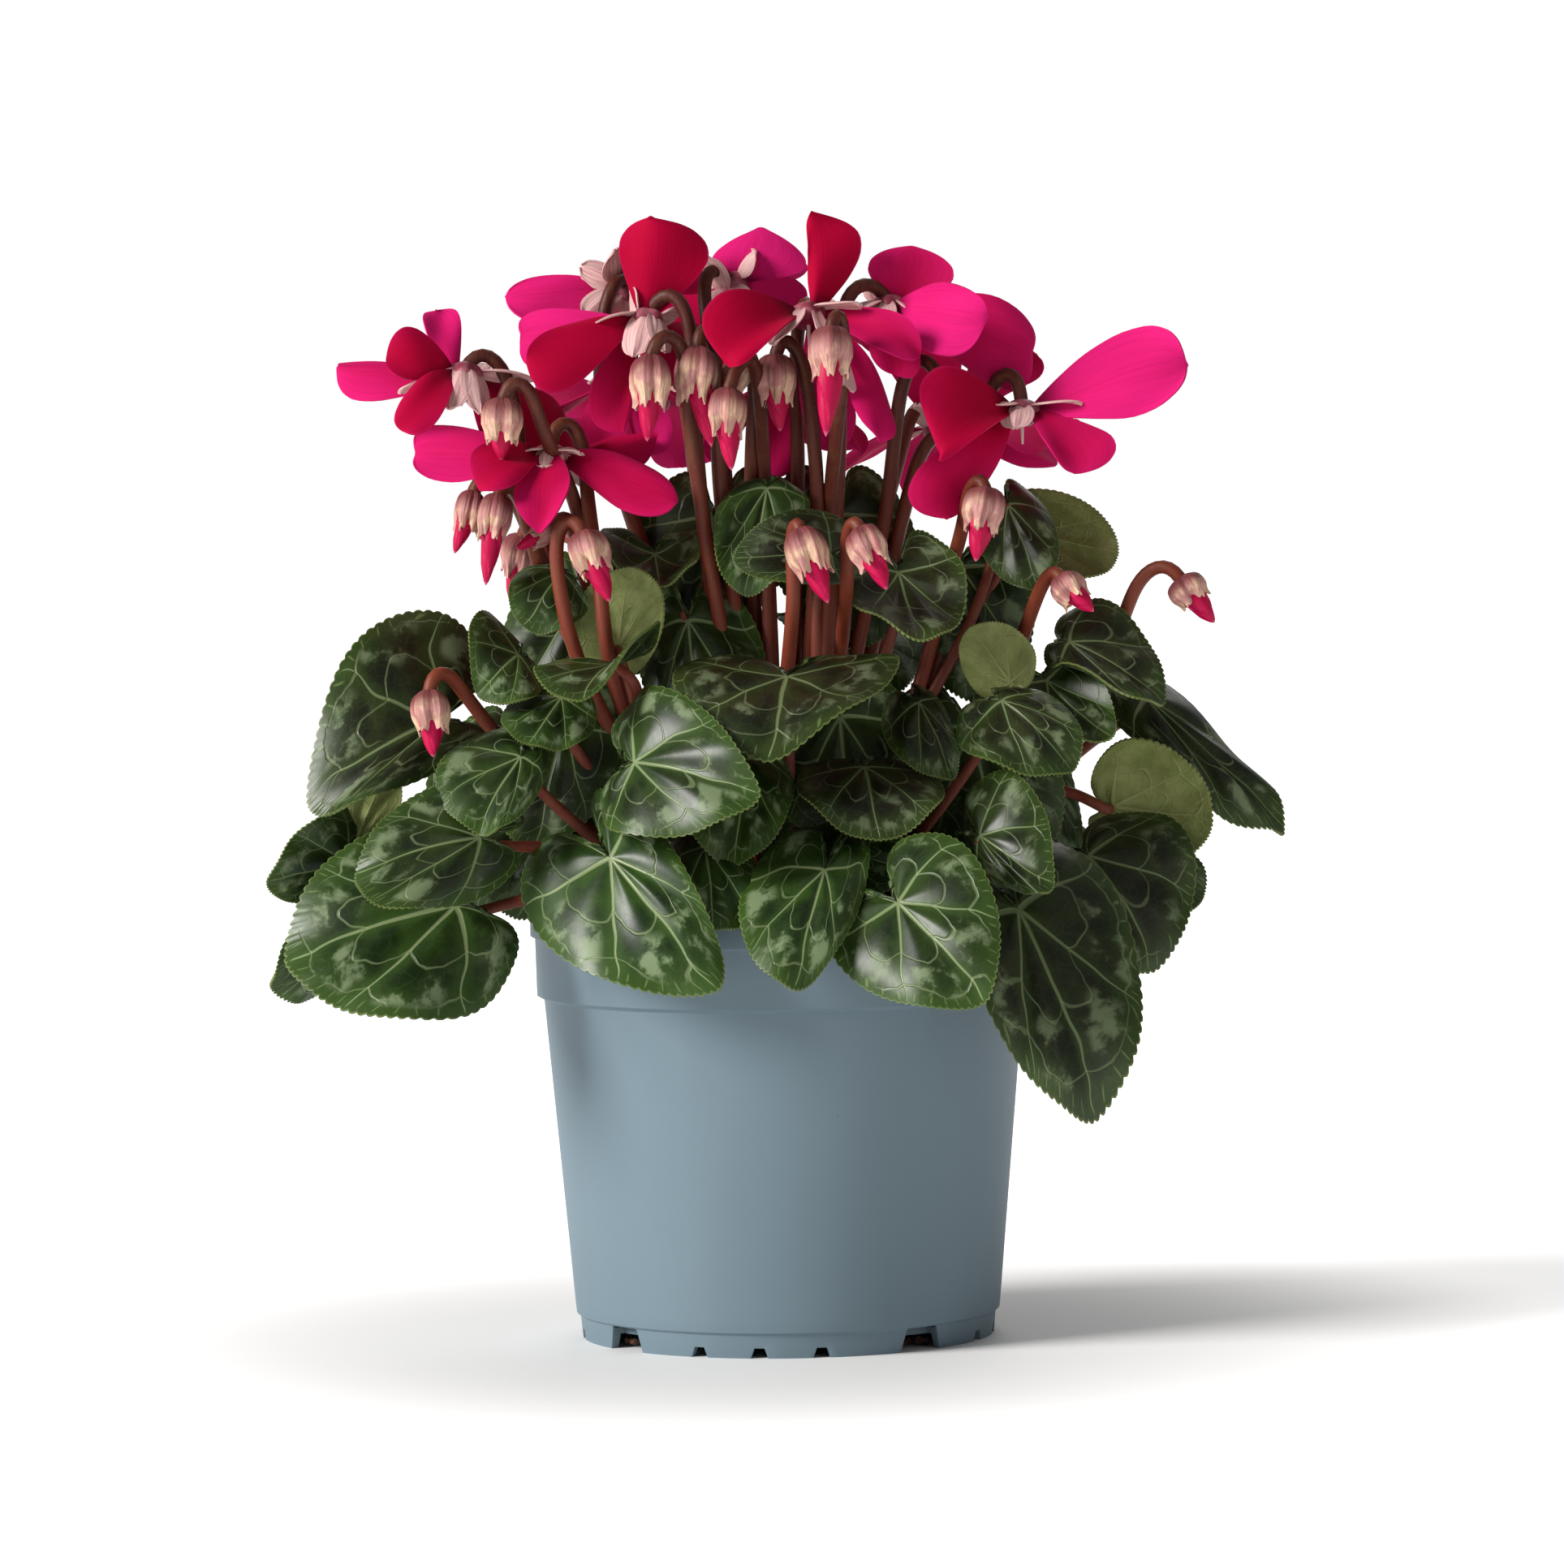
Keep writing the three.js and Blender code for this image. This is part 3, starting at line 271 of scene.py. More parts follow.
# %% [markdown]
# ## Floor
# The plant stands on a wide sheet of white paper. Close to the pot the paper is only lit, so that it takes
# a soft shadow; further out it glows as well, so that it meets the white surround.

# %% Floor
FLOOR_WIDTH = 30
FLOOR_GLOW = 0.5
GLOW_STARTS, GLOW_IS_FULL = 0.05, 0.2  # distance from the pot's axis, in metres


def floor_paint():
    f = Finish("pale floor", 0.6)
    grain = f.cloud(f.place(), 900.0, 3.0)
    colour = f.blend(grain, dye("#F4F4F3"), dye("#FAFAFA"))
    x, y, _ = f.split(f.place())
    far = (x * x + y * y).rise(GLOW_STARTS**2, GLOW_IS_FULL**2)
    f.skin.inputs["Emission Strength"].default_value = FLOOR_GLOW
    return f.wear(colour=colour, glow=f.blend(far, dye("#000000"), dye("#FFFFFF")),
                  normal=f.emboss(grain, 0.0001, 0.2))


bpy.ops.mesh.primitive_plane_add(size=FLOOR_WIDTH)
floor = bpy.context.object
floor.name = "floor"
floor.data.materials.append(floor_paint())
print("floor laid,", floor.dimensions.x, "m wide")

# %% [markdown]
# ## Turned bodies
# Pot, peat and tuber are round, so each starts as a circle that is extruded ring by ring up its profile,
# as by hand with E and S. The number of sides is high enough to look round close by.


# %% Extrude a circle along a profile
def only(piece):
    if bpy.context.object and bpy.context.object.mode == "EDIT":
        bpy.ops.object.mode_set(mode="OBJECT")
    bpy.ops.object.select_all(action="DESELECT")
    piece.select_set(True)
    bpy.context.view_layer.objects.active = piece
    return piece


def edit(piece):
    only(piece)
    bpy.ops.object.mode_set(mode="EDIT")
    bpy.ops.mesh.select_all(action="SELECT")


def done():
    bpy.ops.object.mode_set(mode="OBJECT")


def turned(name, profile, sides):
    """A closed body from rings [radius, height]; a first or last radius of 0 is its pole."""
    radius, height = profile[1]
    bpy.ops.mesh.primitive_circle_add(vertices=sides, radius=radius * MM, location=(0, 0, height * MM))
    piece = bpy.context.object
    piece.name = name
    bpy.ops.object.transform_apply(location=True)
    edit(piece)

    def next_ring(share, rise):
        bpy.ops.mesh.extrude_edges_move()
        bpy.ops.transform.resize(value=(share, share, 1), center_override=(0, 0, 0))
        bpy.ops.transform.translate(value=(0, 0, rise * MM))

    for (r, z), (r_next, z_next) in zip(profile[1:-2], profile[2:-1]):
        next_ring(r_next / r, z_next - z)
    next_ring(0.5, profile[-1][1] - profile[-2][1])
    bpy.ops.mesh.merge(type="CENTER")
    bpy.ops.mesh.select_mode(type="EDGE")
    bpy.ops.mesh.select_non_manifold(extend=False)
    next_ring(0.5, profile[0][1] - profile[1][1])
    bpy.ops.mesh.merge(type="CENTER")
    bpy.ops.mesh.select_mode(type="VERT")
    bpy.ops.mesh.select_all(action="SELECT")
    bpy.ops.mesh.normals_make_consistent(inside=False)
    done()
    return piece


def coated(piece, *finishes):
    for finish in finishes:
        piece.data.materials.append(finish)
    return piece


def smooth(piece, degrees=40):
    only(piece)
    bpy.ops.object.shade_smooth_by_angle(angle=math.radians(degrees))
    return piece


def stands_for(piece, slot, *nodes):
    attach(piece, "root")
    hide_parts(*nodes)
    print(piece.name, "stands for", *nodes, "with", len(piece.data.polygons), "faces")


print("tools for turned bodies ready")

# %% [markdown]
# ## Pot
# A thin formed pot of matt blue-grey plastic: a rolled lip, a deeper band below it, a tapered wall and a
# set-in foot with drain notches. The profile is the frame's own; the notches are cut with wedges, four
# rounds of one wide and three small, and a bevel breaks the edges as the moulding does.

# %% Pot: shape
POT = [
    (0, 3.4), (46.9, 3.4), (46.9, 0), (48.9, 0), (49.3, 4.6), (49.5, 5.4), (50.3, 6), (50.6, 9),
    (56.9, 80.5), (57.5, 80.9), (58.6, 81.5), (58.9, 94.8), (59.2, 95.3), (60, 95.6), (60, 100.8),
    (59.6, 101.3), (58.9, 101.5), (58.2, 101), (57, 95.5), (57, 82.5), (55.3, 80.5), (48.7, 5), (0, 5),
]
WIDE_NOTCH = (-51, 6.2, 4.4, 5.6)  # degrees round, half width at the foot and at its top, height
SMALL_NOTCHES = [(turn, 2.4, 1.2, 2.4) for turn in (-25, -8, 9)]
FOOT_RADIUS = 49.4
CUTTER_DEPTH = 8
CUTTER_BELOW = 1  # how far it reaches below the foot


def wedge(degrees, half, top, height):
    middle = (0, -FOOT_RADIUS * MM, (height - CUTTER_BELOW) / 2 * MM)
    bpy.ops.mesh.primitive_cube_add(size=1, location=middle)
    cutter = bpy.context.object
    cutter.scale = (2 * half * MM, CUTTER_DEPTH * MM, (height + CUTTER_BELOW) * MM)
    bpy.ops.object.transform_apply(location=True, scale=True)
    for corner in cutter.data.vertices:
        if corner.co.z > 0:
            corner.co.x *= top / half
    cutter.rotation_euler.z = math.radians(degrees)
    bpy.ops.object.transform_apply(rotation=True)
    return cutter


def cut(piece, cutter):
    only(piece)
    saw = piece.modifiers.new("cut", "BOOLEAN")
    saw.operation, saw.object, saw.solver = "DIFFERENCE", cutter, "EXACT"
    bpy.ops.object.modifier_apply(modifier="cut")
    bpy.data.objects.remove(cutter)


def apply(piece, name, kind, **settings):
    only(piece)
    made = piece.modifiers.new(name, kind)
    for key, value in settings.items():
        setattr(made, key, value)
    bpy.ops.object.modifier_apply(modifier=name)


pot = turned("nursery_pot", POT, sides=128)
for quarter in range(4):
    for turn, *size in (WIDE_NOTCH, *SMALL_NOTCHES):
        cut(pot, wedge(turn + 90 * quarter, *size))
apply(pot, "soft edges", "BEVEL", width=0.25 * MM, segments=2, angle_limit=math.radians(40))
print("pot faces:", len(pot.data.polygons))


# %% [markdown]
# ## Pot plastic
# The plastic is matt with a fine grain, a little lighter where it was stretched over the mould, and has a
# few specks and faint upright drawing marks.

# %% Pot: finish
def pot_plastic():
    f = Finish("pot plastic", 0.52)
    place = f.place()
    grain = f.cloud(place, 2200.0, 4.0, 0.7)
    drawn = f.cloud(f.stretch(place, 90.0, 90.0, 6.0), 1.0, 3.0)
    mottle = f.cloud(place, 30.0, 2.0)
    specks = f.cells(place, 130.0, "F1").fall(0.02, 0.045) * f.cloud(place, 60.0).rise(0.5, 0.55)
    colour = f.blend(mottle * 0.5 + drawn * 0.5, dye("#627580"), dye("#6B7F8A"))
    colour = f.blend(specks * 0.5, colour, dye("#4F5B63"))
    rough = 0.5 + grain * 0.1 + drawn * 0.05
    height = grain * 0.6 + drawn * 0.5
    return f.wear(colour=colour, roughness=rough, normal=f.emboss(height, 0.00012, 0.35))


coated(smooth(pot, 35), pot_plastic())
stands_for(pot, "pot_plastic", "pot")

# %% [markdown]
# ## Peat and tuber
# Potting peat is dark brown, loose and full of fibre. Its top is a turned body with many rings, roughened
# by moving its points with a noise; loose crumbs lie on it. The tuber is a corky bun half sunk in it.

# %% Peat and tuber: profiles
def peat_level(radius):
    """The height of the peat's top, which is heaped up in a soft ring."""
    return 92.2 + 1.6 * math.cos((radius - 42) / 9)


PEAT_SIDE = [(0, 5.4), (46.9, 5.4), (47.9, 8), (50, 40), (54.4, 79), (56.2, 86)]
PEAT_TOP = [(r, peat_level(r)) for r in (56, 54, *np.arange(51.5, 18, -2.5))]
PEAT_HOLLOW = [(17.4, 92.8), (15.5, 87.6), (9.3, 83), (0, 81.5)]
TUBER = [(0, 82), (5, 82.4), (9, 83.5), (15, 88), (16.6, 91), (17, 93), (16.4, 96), (15, 98), (12, 99.8),
         (9, 100.5), (5, 100.9), (0, 101)]
CRUMB_LIFT = 0.6  # of a crumb's middle above the peat
CRUMB_UNDER_FOOT = 1.5  # its height where it has fallen through


def rubble(point, scale, reach):
    """A push out of the surface at a point in mm, from coarse and fine noise."""
    seed = Vector(point) * scale
    return reach * (noise.noise(seed) + 0.5 * noise.noise(seed * 2.7) + 0.3 * noise.noise(seed * 6.1))


def roughened(piece, scale, reach, low):
    piece.data.update()
    for corner in piece.data.vertices:
        if corner.co.z > low * MM:
            corner.co += corner.normal * rubble(corner.co / MM, scale, reach) * MM


print("rings of the peat's top:", len(PEAT_TOP), "highest at", round(max(z for _, z in PEAT_TOP), 1), "mm")

# %% [markdown]
# ## Peat and cork
# Damp peat is nearly black in its dips and rust-brown on its fibres, and the tuber's skin cracks into corky
# plates. Both finishes are a cell pattern for the lumps and a cloud for fibre or age. Modelling every lump
# would cost many faces for something that shows only between the leaves.


# %% Peat and tuber: finishes
def peat_paint():
    f = Finish("peat", 0.95)
    place = f.place()
    crumb = f.cells(place, 420.0)
    fibre = f.cloud(f.stretch(place, 300.0, 900.0, 300.0), 1.0, 5.0, 0.7)
    damp = f.cloud(place, 70.0, 4.0)
    colour = f.blend(fibre.rise(0.35, 0.7), dye("#2A1A11"), dye("#664433"))
    colour = f.blend(damp.rise(0.45, 0.7) * 0.5, colour, dye("#2B1B12"))
    height = crumb * 2 + fibre
    return f.wear(colour=colour, normal=f.emboss(height, 0.0008, 0.8))


def cork_paint():
    f = Finish("tuber cork", 0.85)
    place = f.place()
    scale = f.cells(place, 260.0)
    age = f.cloud(place, 120.0, 5.0, 0.6)
    colour = f.blend(age, dye("#3B2619"), dye("#77583D"))
    return f.wear(colour=colour, normal=f.emboss(scale + age, 0.0006, 0.6))


peat_finish = peat_paint()
print("finish made:", peat_finish.name)

# %% [markdown]
# ## Peat, crumbs and tuber in place
# Crumbs lie loose on the peat, and some have fallen through under the foot, where the notches show them. A
# particle system could strew them; copies of one small ball with random places, sizes and dents do the
# same in a few lines, and come out alike at every run.

# %% Peat and tuber: in place
peat = coated(smooth(turned("peat_body", PEAT_SIDE + PEAT_TOP + PEAT_HOLLOW, sides=96)), peat_finish)
roughened(peat, scale=0.35, reach=0.9, low=88)
bpy.ops.mesh.primitive_ico_sphere_add(subdivisions=1, radius=1.2 * MM)
crumb = bpy.context.object
rng = np.random.default_rng(7)


def scattered(count, inner, outer, height, coarse):
    """Crumbs of up to that size on a ring; height is that of the ground at a radius."""
    made = []
    for _ in range(count):
        turn, r = rng.uniform(0, 2 * math.pi), math.sqrt(rng.uniform(inner**2, outer**2))
        piece = crumb.copy()
        piece.data = crumb.data.copy()
        bpy.context.collection.objects.link(piece)
        size = np.array(rng.uniform(0.4 * coarse, coarse, 3))
        at = Vector((r * math.cos(turn), r * math.sin(turn), height(r)))
        for corner in piece.data.vertices:
            corner.co = Vector(size * np.array(corner.co)) * rng.uniform(0.8, 1.2) + at * MM
        made.append(piece)
    return made


crumbs = scattered(170, 20, 55, lambda r: peat_level(r) + CRUMB_LIFT, coarse=1.2)
crumbs += scattered(160, 42, 45.3, lambda r: CRUMB_UNDER_FOOT, coarse=1.0)
bpy.data.objects.remove(crumb)


def fused(name, pieces):
    """Several pieces joined into one object of that name."""
    only(pieces[0])
    for piece in pieces:
        piece.select_set(True)
    bpy.ops.object.join()
    whole = bpy.context.object
    whole.name = name
    whole.select_set(False)
    return whole


peat_crumbs = coated(fused("peat_crumbs", crumbs), peat_finish)
tuber = coated(smooth(turned("tuber", TUBER, sides=48)), cork_paint())
roughened(tuber, scale=0.3, reach=0.7, low=80)
stands_for(peat, "peat", "soil")
stands_for(peat_crumbs, "peat", "soil")
stands_for(tuber, "stem_skin", "crown")

# %% [markdown]
# ## One sheet for everything that grows
# A leaf, a petal, a sepal and a stalk all start as the same thing: a flat grid, whose texture map runs from
# 0 to 1 along and across. The grid is added once for each kind, copied, and every copy's points are then
# laid on a surface in code, because no hand tool bends sixty blades each to its own measured pose. Points
# that fall together are merged, a blade is given its thickness, and a rolled-up grid closes by itself.


# %% Grids
def grid(name, columns, rows):
    bpy.ops.mesh.primitive_grid_add(x_subdivisions=columns, y_subdivisions=rows, size=2)
    pattern = bpy.context.object
    pattern.name = name
    pattern.data.uv_layers[0].name = "sheet"
    pattern.hide_render = True
    spots = np.array([c.co for c in pattern.data.vertices]) / 2 + 0.5
    return pattern, spots[:, 0], spots[:, 1]


def laid_out(name, pattern, points, tint=0.0, flat=None):
    """A copy of a grid with its points at these places in mm; flat is a second, unstretched map."""
    piece = pattern.copy()
    piece.data = pattern.data.copy()
    piece.name = name
    piece.hide_render = False
    bpy.context.collection.objects.link(piece)
    piece.data.vertices.foreach_set("co", (np.asarray(points) * MM).ravel())
    made = piece.data.attributes.new("tint", "FLOAT", "POINT")
    made.data.foreach_set("value", np.full(len(points), tint) if np.isscalar(tint) else tint)
    if flat is not None:
        corners = np.empty(len(piece.data.loops), int)
        piece.data.loops.foreach_get("vertex_index", corners)
        piece.data.uv_layers.new(name="flat").data.foreach_set("uv", flat[corners].ravel())
    edit(piece)
    bpy.ops.mesh.remove_doubles(threshold=0.01 * MM)
    done()
    return piece


def thickened(piece, thick):
    """The top face in the first material, the underside in the second and the rim in the third."""
    apply(piece, "thickness", "SOLIDIFY", thickness=thick * MM, offset=-1, use_rim=True,
          material_offset=1, material_offset_rim=2)
    return piece


print("tools for grids ready")

# %% [markdown]
# ## Paths
# Stalks and rims are smooth curves through a few measured points. They could be drawn as curve objects, but
# the handles of each would have to be set by hand. This curve goes through its points by itself and is then
# spaced evenly, so it needs the points only.

# %% Paths and outlines
STEPS_BETWEEN = 16  # points of a smooth line between two that it goes through


def smooth_line(points, count, eased=0):
    """A curve through points, of that many evenly spaced ones; eased rounds its corners."""
    p = np.asarray(points, float)
    p = np.vstack([2 * p[0] - p[1], p, 2 * p[-1] - p[-2]])
    dense = []
    for a, b, c, d in zip(p[:-3], p[1:-2], p[2:-1], p[3:]):
        gaps = [max(np.linalg.norm(y - x), 1e-6) ** 0.5 for x, y in ((a, b), (b, c), (c, d))]
        k = np.cumsum([0, *gaps])
        t = np.linspace(k[1], k[2], STEPS_BETWEEN, endpoint=False)[:, None]
        ab, bc, cd = [
            x + (y - x) * (t - k[i]) / gaps[i] for i, (x, y) in enumerate(((a, b), (b, c), (c, d)))
        ]
        abc = ab + (bc - ab) * (t - k[0]) / (k[2] - k[0])
        bcd = bc + (cd - bc) * (t - k[1]) / (k[3] - k[1])
        dense.append(abc + (bcd - abc) * (t - k[1]) / gaps[1])
    dense = np.vstack([*dense, p[-2:-1]])
    run = np.concatenate([[0], np.cumsum(np.linalg.norm(np.diff(dense, axis=0), axis=1))])
    even = np.linspace(0, run[-1], count)
    line = np.stack([np.interp(even, run, dense[:, k]) for k in range(dense.shape[1])], 1)
    for _ in range(eased):
        line[1:-1] = line[1:-1] / 2 + (line[:-2] + line[2:]) / 4
    return line


def outline(edge, share, count=400):
    """Points of a rim at shares of the way round it: how far along the blade, and how far out."""
    line = smooth_line(edge, count)
    return [np.interp(share, np.linspace(0, 1, count), line[:, k]) for k in (0, 1)]


def unit(v):
    return v / np.maximum(np.linalg.norm(v, axis=-1, keepdims=True), 1e-9)


print("a curve over a peak, in five:", smooth_line([(0, 0), (1, 1), (2, 0)], 5).round(2).tolist())

# %% [markdown]
# ## Blades
# Leaves, petals and sepals are thin blades that arch along their length and cup across it. They could be
# bent one by one with a lattice. But the frame's solids follow from four measured points each, and the same
# rule puts the fine blade where its solid is.

# %% Blades
CURL_START = 0.45  # from where a curled blade rolls up, in half widths
LOBE_REACH = 0.37  # how far a leaf's lobes go back behind the stalk, in lengths


class Blade:
    """A leaf or petal between four measured points: held at, tip, widest left and widest right."""

    soft = 0.0  # how wide the fold along the middle is, as a share of the half width

    def __init__(self, at, tip, left, right, shape, widest):
        self.at, tip, left, right = (np.array(p, float) for p in (at, tip, left, right))
        self.arch, self.cup, self.back, *self.curls = [*shape, *(LOBE_REACH, 0, 0)[len(shape) - 2 :]]
        self.axis = tip - self.at
        middle = self.at + self.axis * widest
        self.sides = [left - middle, right - middle]
        self.normal = unit(np.cross(self.axis, right - left))

    def point(self, u, v, lift=0.0):
        along = np.where(u < 0, u * self.back / LOBE_REACH, u)
        up = self.arch * 4 * along * (1 - along) + self.cup * v * v + lift
        out = self.at + along[:, None] * self.axis
        for half, side, curl in zip((-v, v), self.sides, self.curls):
            width = np.linalg.norm(side)
            reach = (half + np.sqrt(half * half + self.soft**2)) / 2 * width
            across = reach
            if curl:
                flat = CURL_START * width
                radius = (width - flat) / curl
                turned_by = np.maximum(reach - flat, 0) / radius
                across = np.minimum(reach, flat) + radius * np.sin(turned_by)
                up = up + radius * (1 - np.cos(turned_by))
            out = out + (across / width)[:, None] * side
        return out + up[:, None] * self.normal

    def normal_at(self, u):
        steps = ((0, 0), (0.02, 0), (0, 0.02))
        here, ahead, aside = (self.point(np.array([u + a]), np.array([0.001 + b]))[0] for a, b in steps)
        return unit(np.cross(ahead - here, aside - here))


print("tools for blades and stalks ready")

# %% [markdown]
# ## Leaves
# A cyclamen leaf is heart-shaped with a fine, rounded tooth along its edge, thick veins that spread from
# the stalk and close in loops, and a marbled ring between them. Each row below is one leaf: where its
# stalk holds it, its tip, its widest points left and right, how it bows, and how brown and dark it is. That
# last number is partly the leaf's own olive-brown and partly painted shade: leaves that lie in shade, in the
# middle of the clump and on the right, have more of it. The bow is an arch along it and a cup across it,
# then at need the reach of its lobes and a curl of each side.

# %% Leaves: measured poses
LEAVES = {
    "leaf_01": [[-40, -54, 119], [-14, -74, 88], [-54, -60, 97], [-26, -58, 121], [3, -2], 0.0],
    "leaf_02": [[11, -56, 115], [3, -77, 87], [-10, -64, 108], [18, -64, 107], [3, -2, 0.45], 0.1],
    "leaf_03": [[10, -37, 117], [30, -45, 112], [15, -45, 107], [22, -38, 124], [1, -1], 0.2],
    "leaf_04": [[25, -63, 107], [46, -79, 84], [15, -72, 90], [44, -65, 117], [3, -2, 0.3], 0.3],
    "leaf_05": [[44, -44, 120], [61, -58, 108], [49, -52, 110], [56, -44, 133], [2, -2], 0.6],
    "leaf_06": [[52, -46, 106], [71, -61, 56], [43, -59, 86], [80, -41, 102], [4, -3, 0.3], 0.75],
    "leaf_07": [[70, -19, 115], [87, -29, 88], [60, -33, 100], [95, -14, 118], [3, -2, 0.2], 0.8],
    "leaf_08": [[76, -1, 124], [101, -9, 120], [88, -9, 141], [86, -2, 110], [2, -3, 0.2], 0.5],
    "leaf_09": [[66, -10, 164], [90, -18, 150], [71, -20, 153], [80, -3, 171], [2, -1, 0.15, 1.6], 0.9],
    "leaf_10": [[84, 9, 152], [118, -2, 118], [94, -2, 133], [103, 14, 146], [2, -2], 0.7],
    "leaf_11": [[50, -28.5, 152], [67, -41, 136], [46, -43, 138], [66, -29, 150], [2, -2, 0.25], 0.75],
    "leaf_12": [[62, -12, 156], [77, -30, 143], [54, -24, 148], [74, -14, 156], [-2, 2, 0.12], 0.5],
    "leaf_14": [[28, -8, 182], [33, -36, 167], [14, -18, 178], [44, -20, 177], [-2, 3], 0.8],
    "leaf_15": [[2, -40, 157], [-3, -64, 138], [-25, -42, 158], [27, -42, 160], [3, -3, 0.45], 0.9],
    "leaf_16": [[-35, -50, 138], [-5, -70, 132], [-33, -65, 122], [-27, -47, 156], [3, -2, 0.2], 0.35],
    "leaf_17": [[-37, -36, 160], [-45, -54, 151], [-56, -42, 160], [-30, -38, 168], [2, 1], 0.4],
    "leaf_18": [[-38, -20, 162], [-35, -22, 182], [-48, -16, 172], [-26, -20, 172], [1, -2], 0.1],
    "leaf_19": [[-60, -28, 163], [-69, -40, 154], [-71, -29, 172], [-57, -41, 153], [2, -1], 0.25],
    "leaf_20": [[-50, -19, 183], [-59, -28, 170], [-62, -21, 181], [-46, -25, 171], [2, -1, 0.1], 0.25],
    "leaf_21": [[-77, -28, 147], [-109, -38, 129], [-92, -18, 172], [-89, -42, 132], [4, -2], 0.75],
    "leaf_22": [[-50, -35, 154], [-57, -48, 143], [-64, -41, 151], [-44, -43, 145], [1, -1], 0.25],
    "leaf_23": [[-58, -46, 141], [-68, -60, 123], [-79, -50, 139], [-57, -58, 131], [2, -2], 0.25],
    "leaf_24": [[-66, -54, 122], [-96, -62, 115], [-80, -52, 133], [-83, -68, 106], [3, -2], 0.45],
    "leaf_25": [[-72, -38, 106], [-114, -46, 94], [-94, -30, 123], [-82, -56, 80], [3, -2, 0.28], 0.15],
    "leaf_26": [[-100, -24, 115], [-118, -38, 111], [-106, -32, 127], [-109, -32, 106], [1, -1], 0.25],
    "leaf_27": [[-98, -14, 108], [-117, -20, 84], [-114, -24, 100], [-103, -10, 90], [2, -1], 0.25],
    "leaf_28": [[19, -36, 137], [22, -55, 121], [4, -46, 131], [38, -44, 131], [2, -2], 0.9],
    "leaf_29": [[32, -27, 152], [40, -38, 134], [26, -37, 140], [39.5, -32, 147], [2, -2], 0.85],
    "leaf_30": [[-8, -33, 140], [-10, -53, 116], [-24, -45, 130], [3, -43, 130], [2, -2, 0.25], 0.2],
    "leaf_31": [[-18, -46, 120], [-15, -64, 101], [-28, -56, 110], [-5, -56, 110], [2, -1], 0.0],
    "leaf_32": [[-29, -3, 186], [-27, -19, 179], [-41, -11, 187], [-18, -11, 187], [-2, 3, 0.25], 0.25],
    "leaf_33": [[-2, -10, 203], [-7, -23, 177], [-15, -19, 192], [7, -17, 192], [2, -1, 0.15], 0.15],
    "leaf_34": [[14, -22, 185], [-10, -30, 184], [5, -25, 196], [7, -29, 178], [2, -1], 0.9],
    "leaf_35": [[54, 0, 198], [61, -10, 177], [47, -4, 186], [66, -4, 190], [2, -1], 0.75],
    "leaf_36": [[57, 12, 190], [80, 5, 184], [70, 9, 198], [67, 6, 178], [1, -2], 0.9],
    "leaf_37": [[80, 7, 114], [96, 4, 99], [80, 0, 102], [99, 10, 112], [1, -1, 0.1], 0.7],
}
# The part of a leaf that is folded over is a blade of its own.
FOLDS = {
    "leaf_12": [[55, -19, 153], [45, -17, 167], [44, -16, 155], [58, -17, 165], [1, -1, 0.2]],
    "leaf_26": [[-101, -25, 116], [-92, -22, 137], [-106, -25, 124], [-90, -21, 124], [1, -1, 0.2]],
}
# Leaves deep in the clump, which show dark between the others; their brown share is partly painted shade.
INNER_LEAVES = {
    "inner_01": [[-50, -25, 148], [-58, -31, 118], [-68, -27, 138], [-37, -27, 136], [2, -2], 0.55],
    "inner_02": [[-50, -18, 126], [-62, -24, 102], [-70, -18, 118], [-40, -22, 112], [2, -2], 0.55],
    "inner_03": [[-22, -12, 173], [-19, -21, 142], [-33, -15, 158], [-3, -16, 158], [2, -2], 0.55],
    "inner_04": [[-15, 8, 197], [-20, 3, 164], [-38, 6, 182], [4, 6, 186], [2, -2], 0.55],
    "inner_05": [[14, 8, 197], [18, 3, 163], [-2, 6, 184], [34, 5, 183], [2, -2], 0.55],
    "inner_06": [[43, 3, 184], [47, -3, 150], [28, 1, 171], [61, 1, 172], [2, -2, 0.15], 0.55],
    "inner_07": [[-46, 3, 178], [-51, -2, 146], [-66, 1, 165], [-31, 0, 165], [2, -2], 0.55],
    "inner_08": [[14, -18, 150], [16, -26, 117], [-5, -22, 136], [33, -22, 136], [2, -2], 0.55],
    "inner_09": [[44, -6, 147], [52, -15, 112], [28, -11, 132], [67, -10, 130], [2, -2], 0.55],
    "inner_10": [[-12, -16, 145], [-14, -25, 112], [-32, -20, 132], [6, -20, 130], [2, -2], 0.55],
    "inner_11": [[59, -1, 139], [66, -5, 109], [50, -6, 121], [71, -2, 126], [2, -2, 0.2], 0.55],
    "inner_12": [[-64, -4, 142], [-72, -10, 112], [-84, -6, 132], [-53, -7, 131], [2, -2], 0.55],
}
UNDERSIDE_SHOWS = {"leaf_08", "leaf_18", "leaf_36"}
print("front leaves:", len(LEAVES), "folds:", len(FOLDS), "inner leaves:", len(INNER_LEAVES))

# %% [markdown]
# ## Leaves of the far side
# The far side is not seen in the picture. It is filled by rule, in three tiers of blades round the back.

# %% Leaves: the far side
BACK_DEPTH, BACK_FIRST, BACK_STEP, BACK_STAGGER = 0.82, 25, 26.5, 9
LOW = (62, 36, 127, 30, 17, 0.3)  # reach, fall, height, drop, half width, lobes
MIDDLE = (42, 36, 141, 27, 16, 0.2)
TOP = (30, 32, 171, 20, 16, 0.02)
WIDEST_LEAF = 0.2


def back_row(tier, degrees, lower=0):
    reach, fall, high, drop, half, back = tier
    turn = math.radians(degrees)
    out = np.array([math.cos(turn), BACK_DEPTH * math.sin(turn), 0])
    across = half * unit(np.array([-math.sin(turn), BACK_DEPTH * math.cos(turn), 0]))
    at = out * reach + (0, 0, high - lower)
    tip = out * (reach + fall) + (0, 0, high - drop - lower)
    middle = at + (tip - at) * WIDEST_LEAF
    return [at, tip, middle - across, middle + across, [3, -2, back], 0.3]


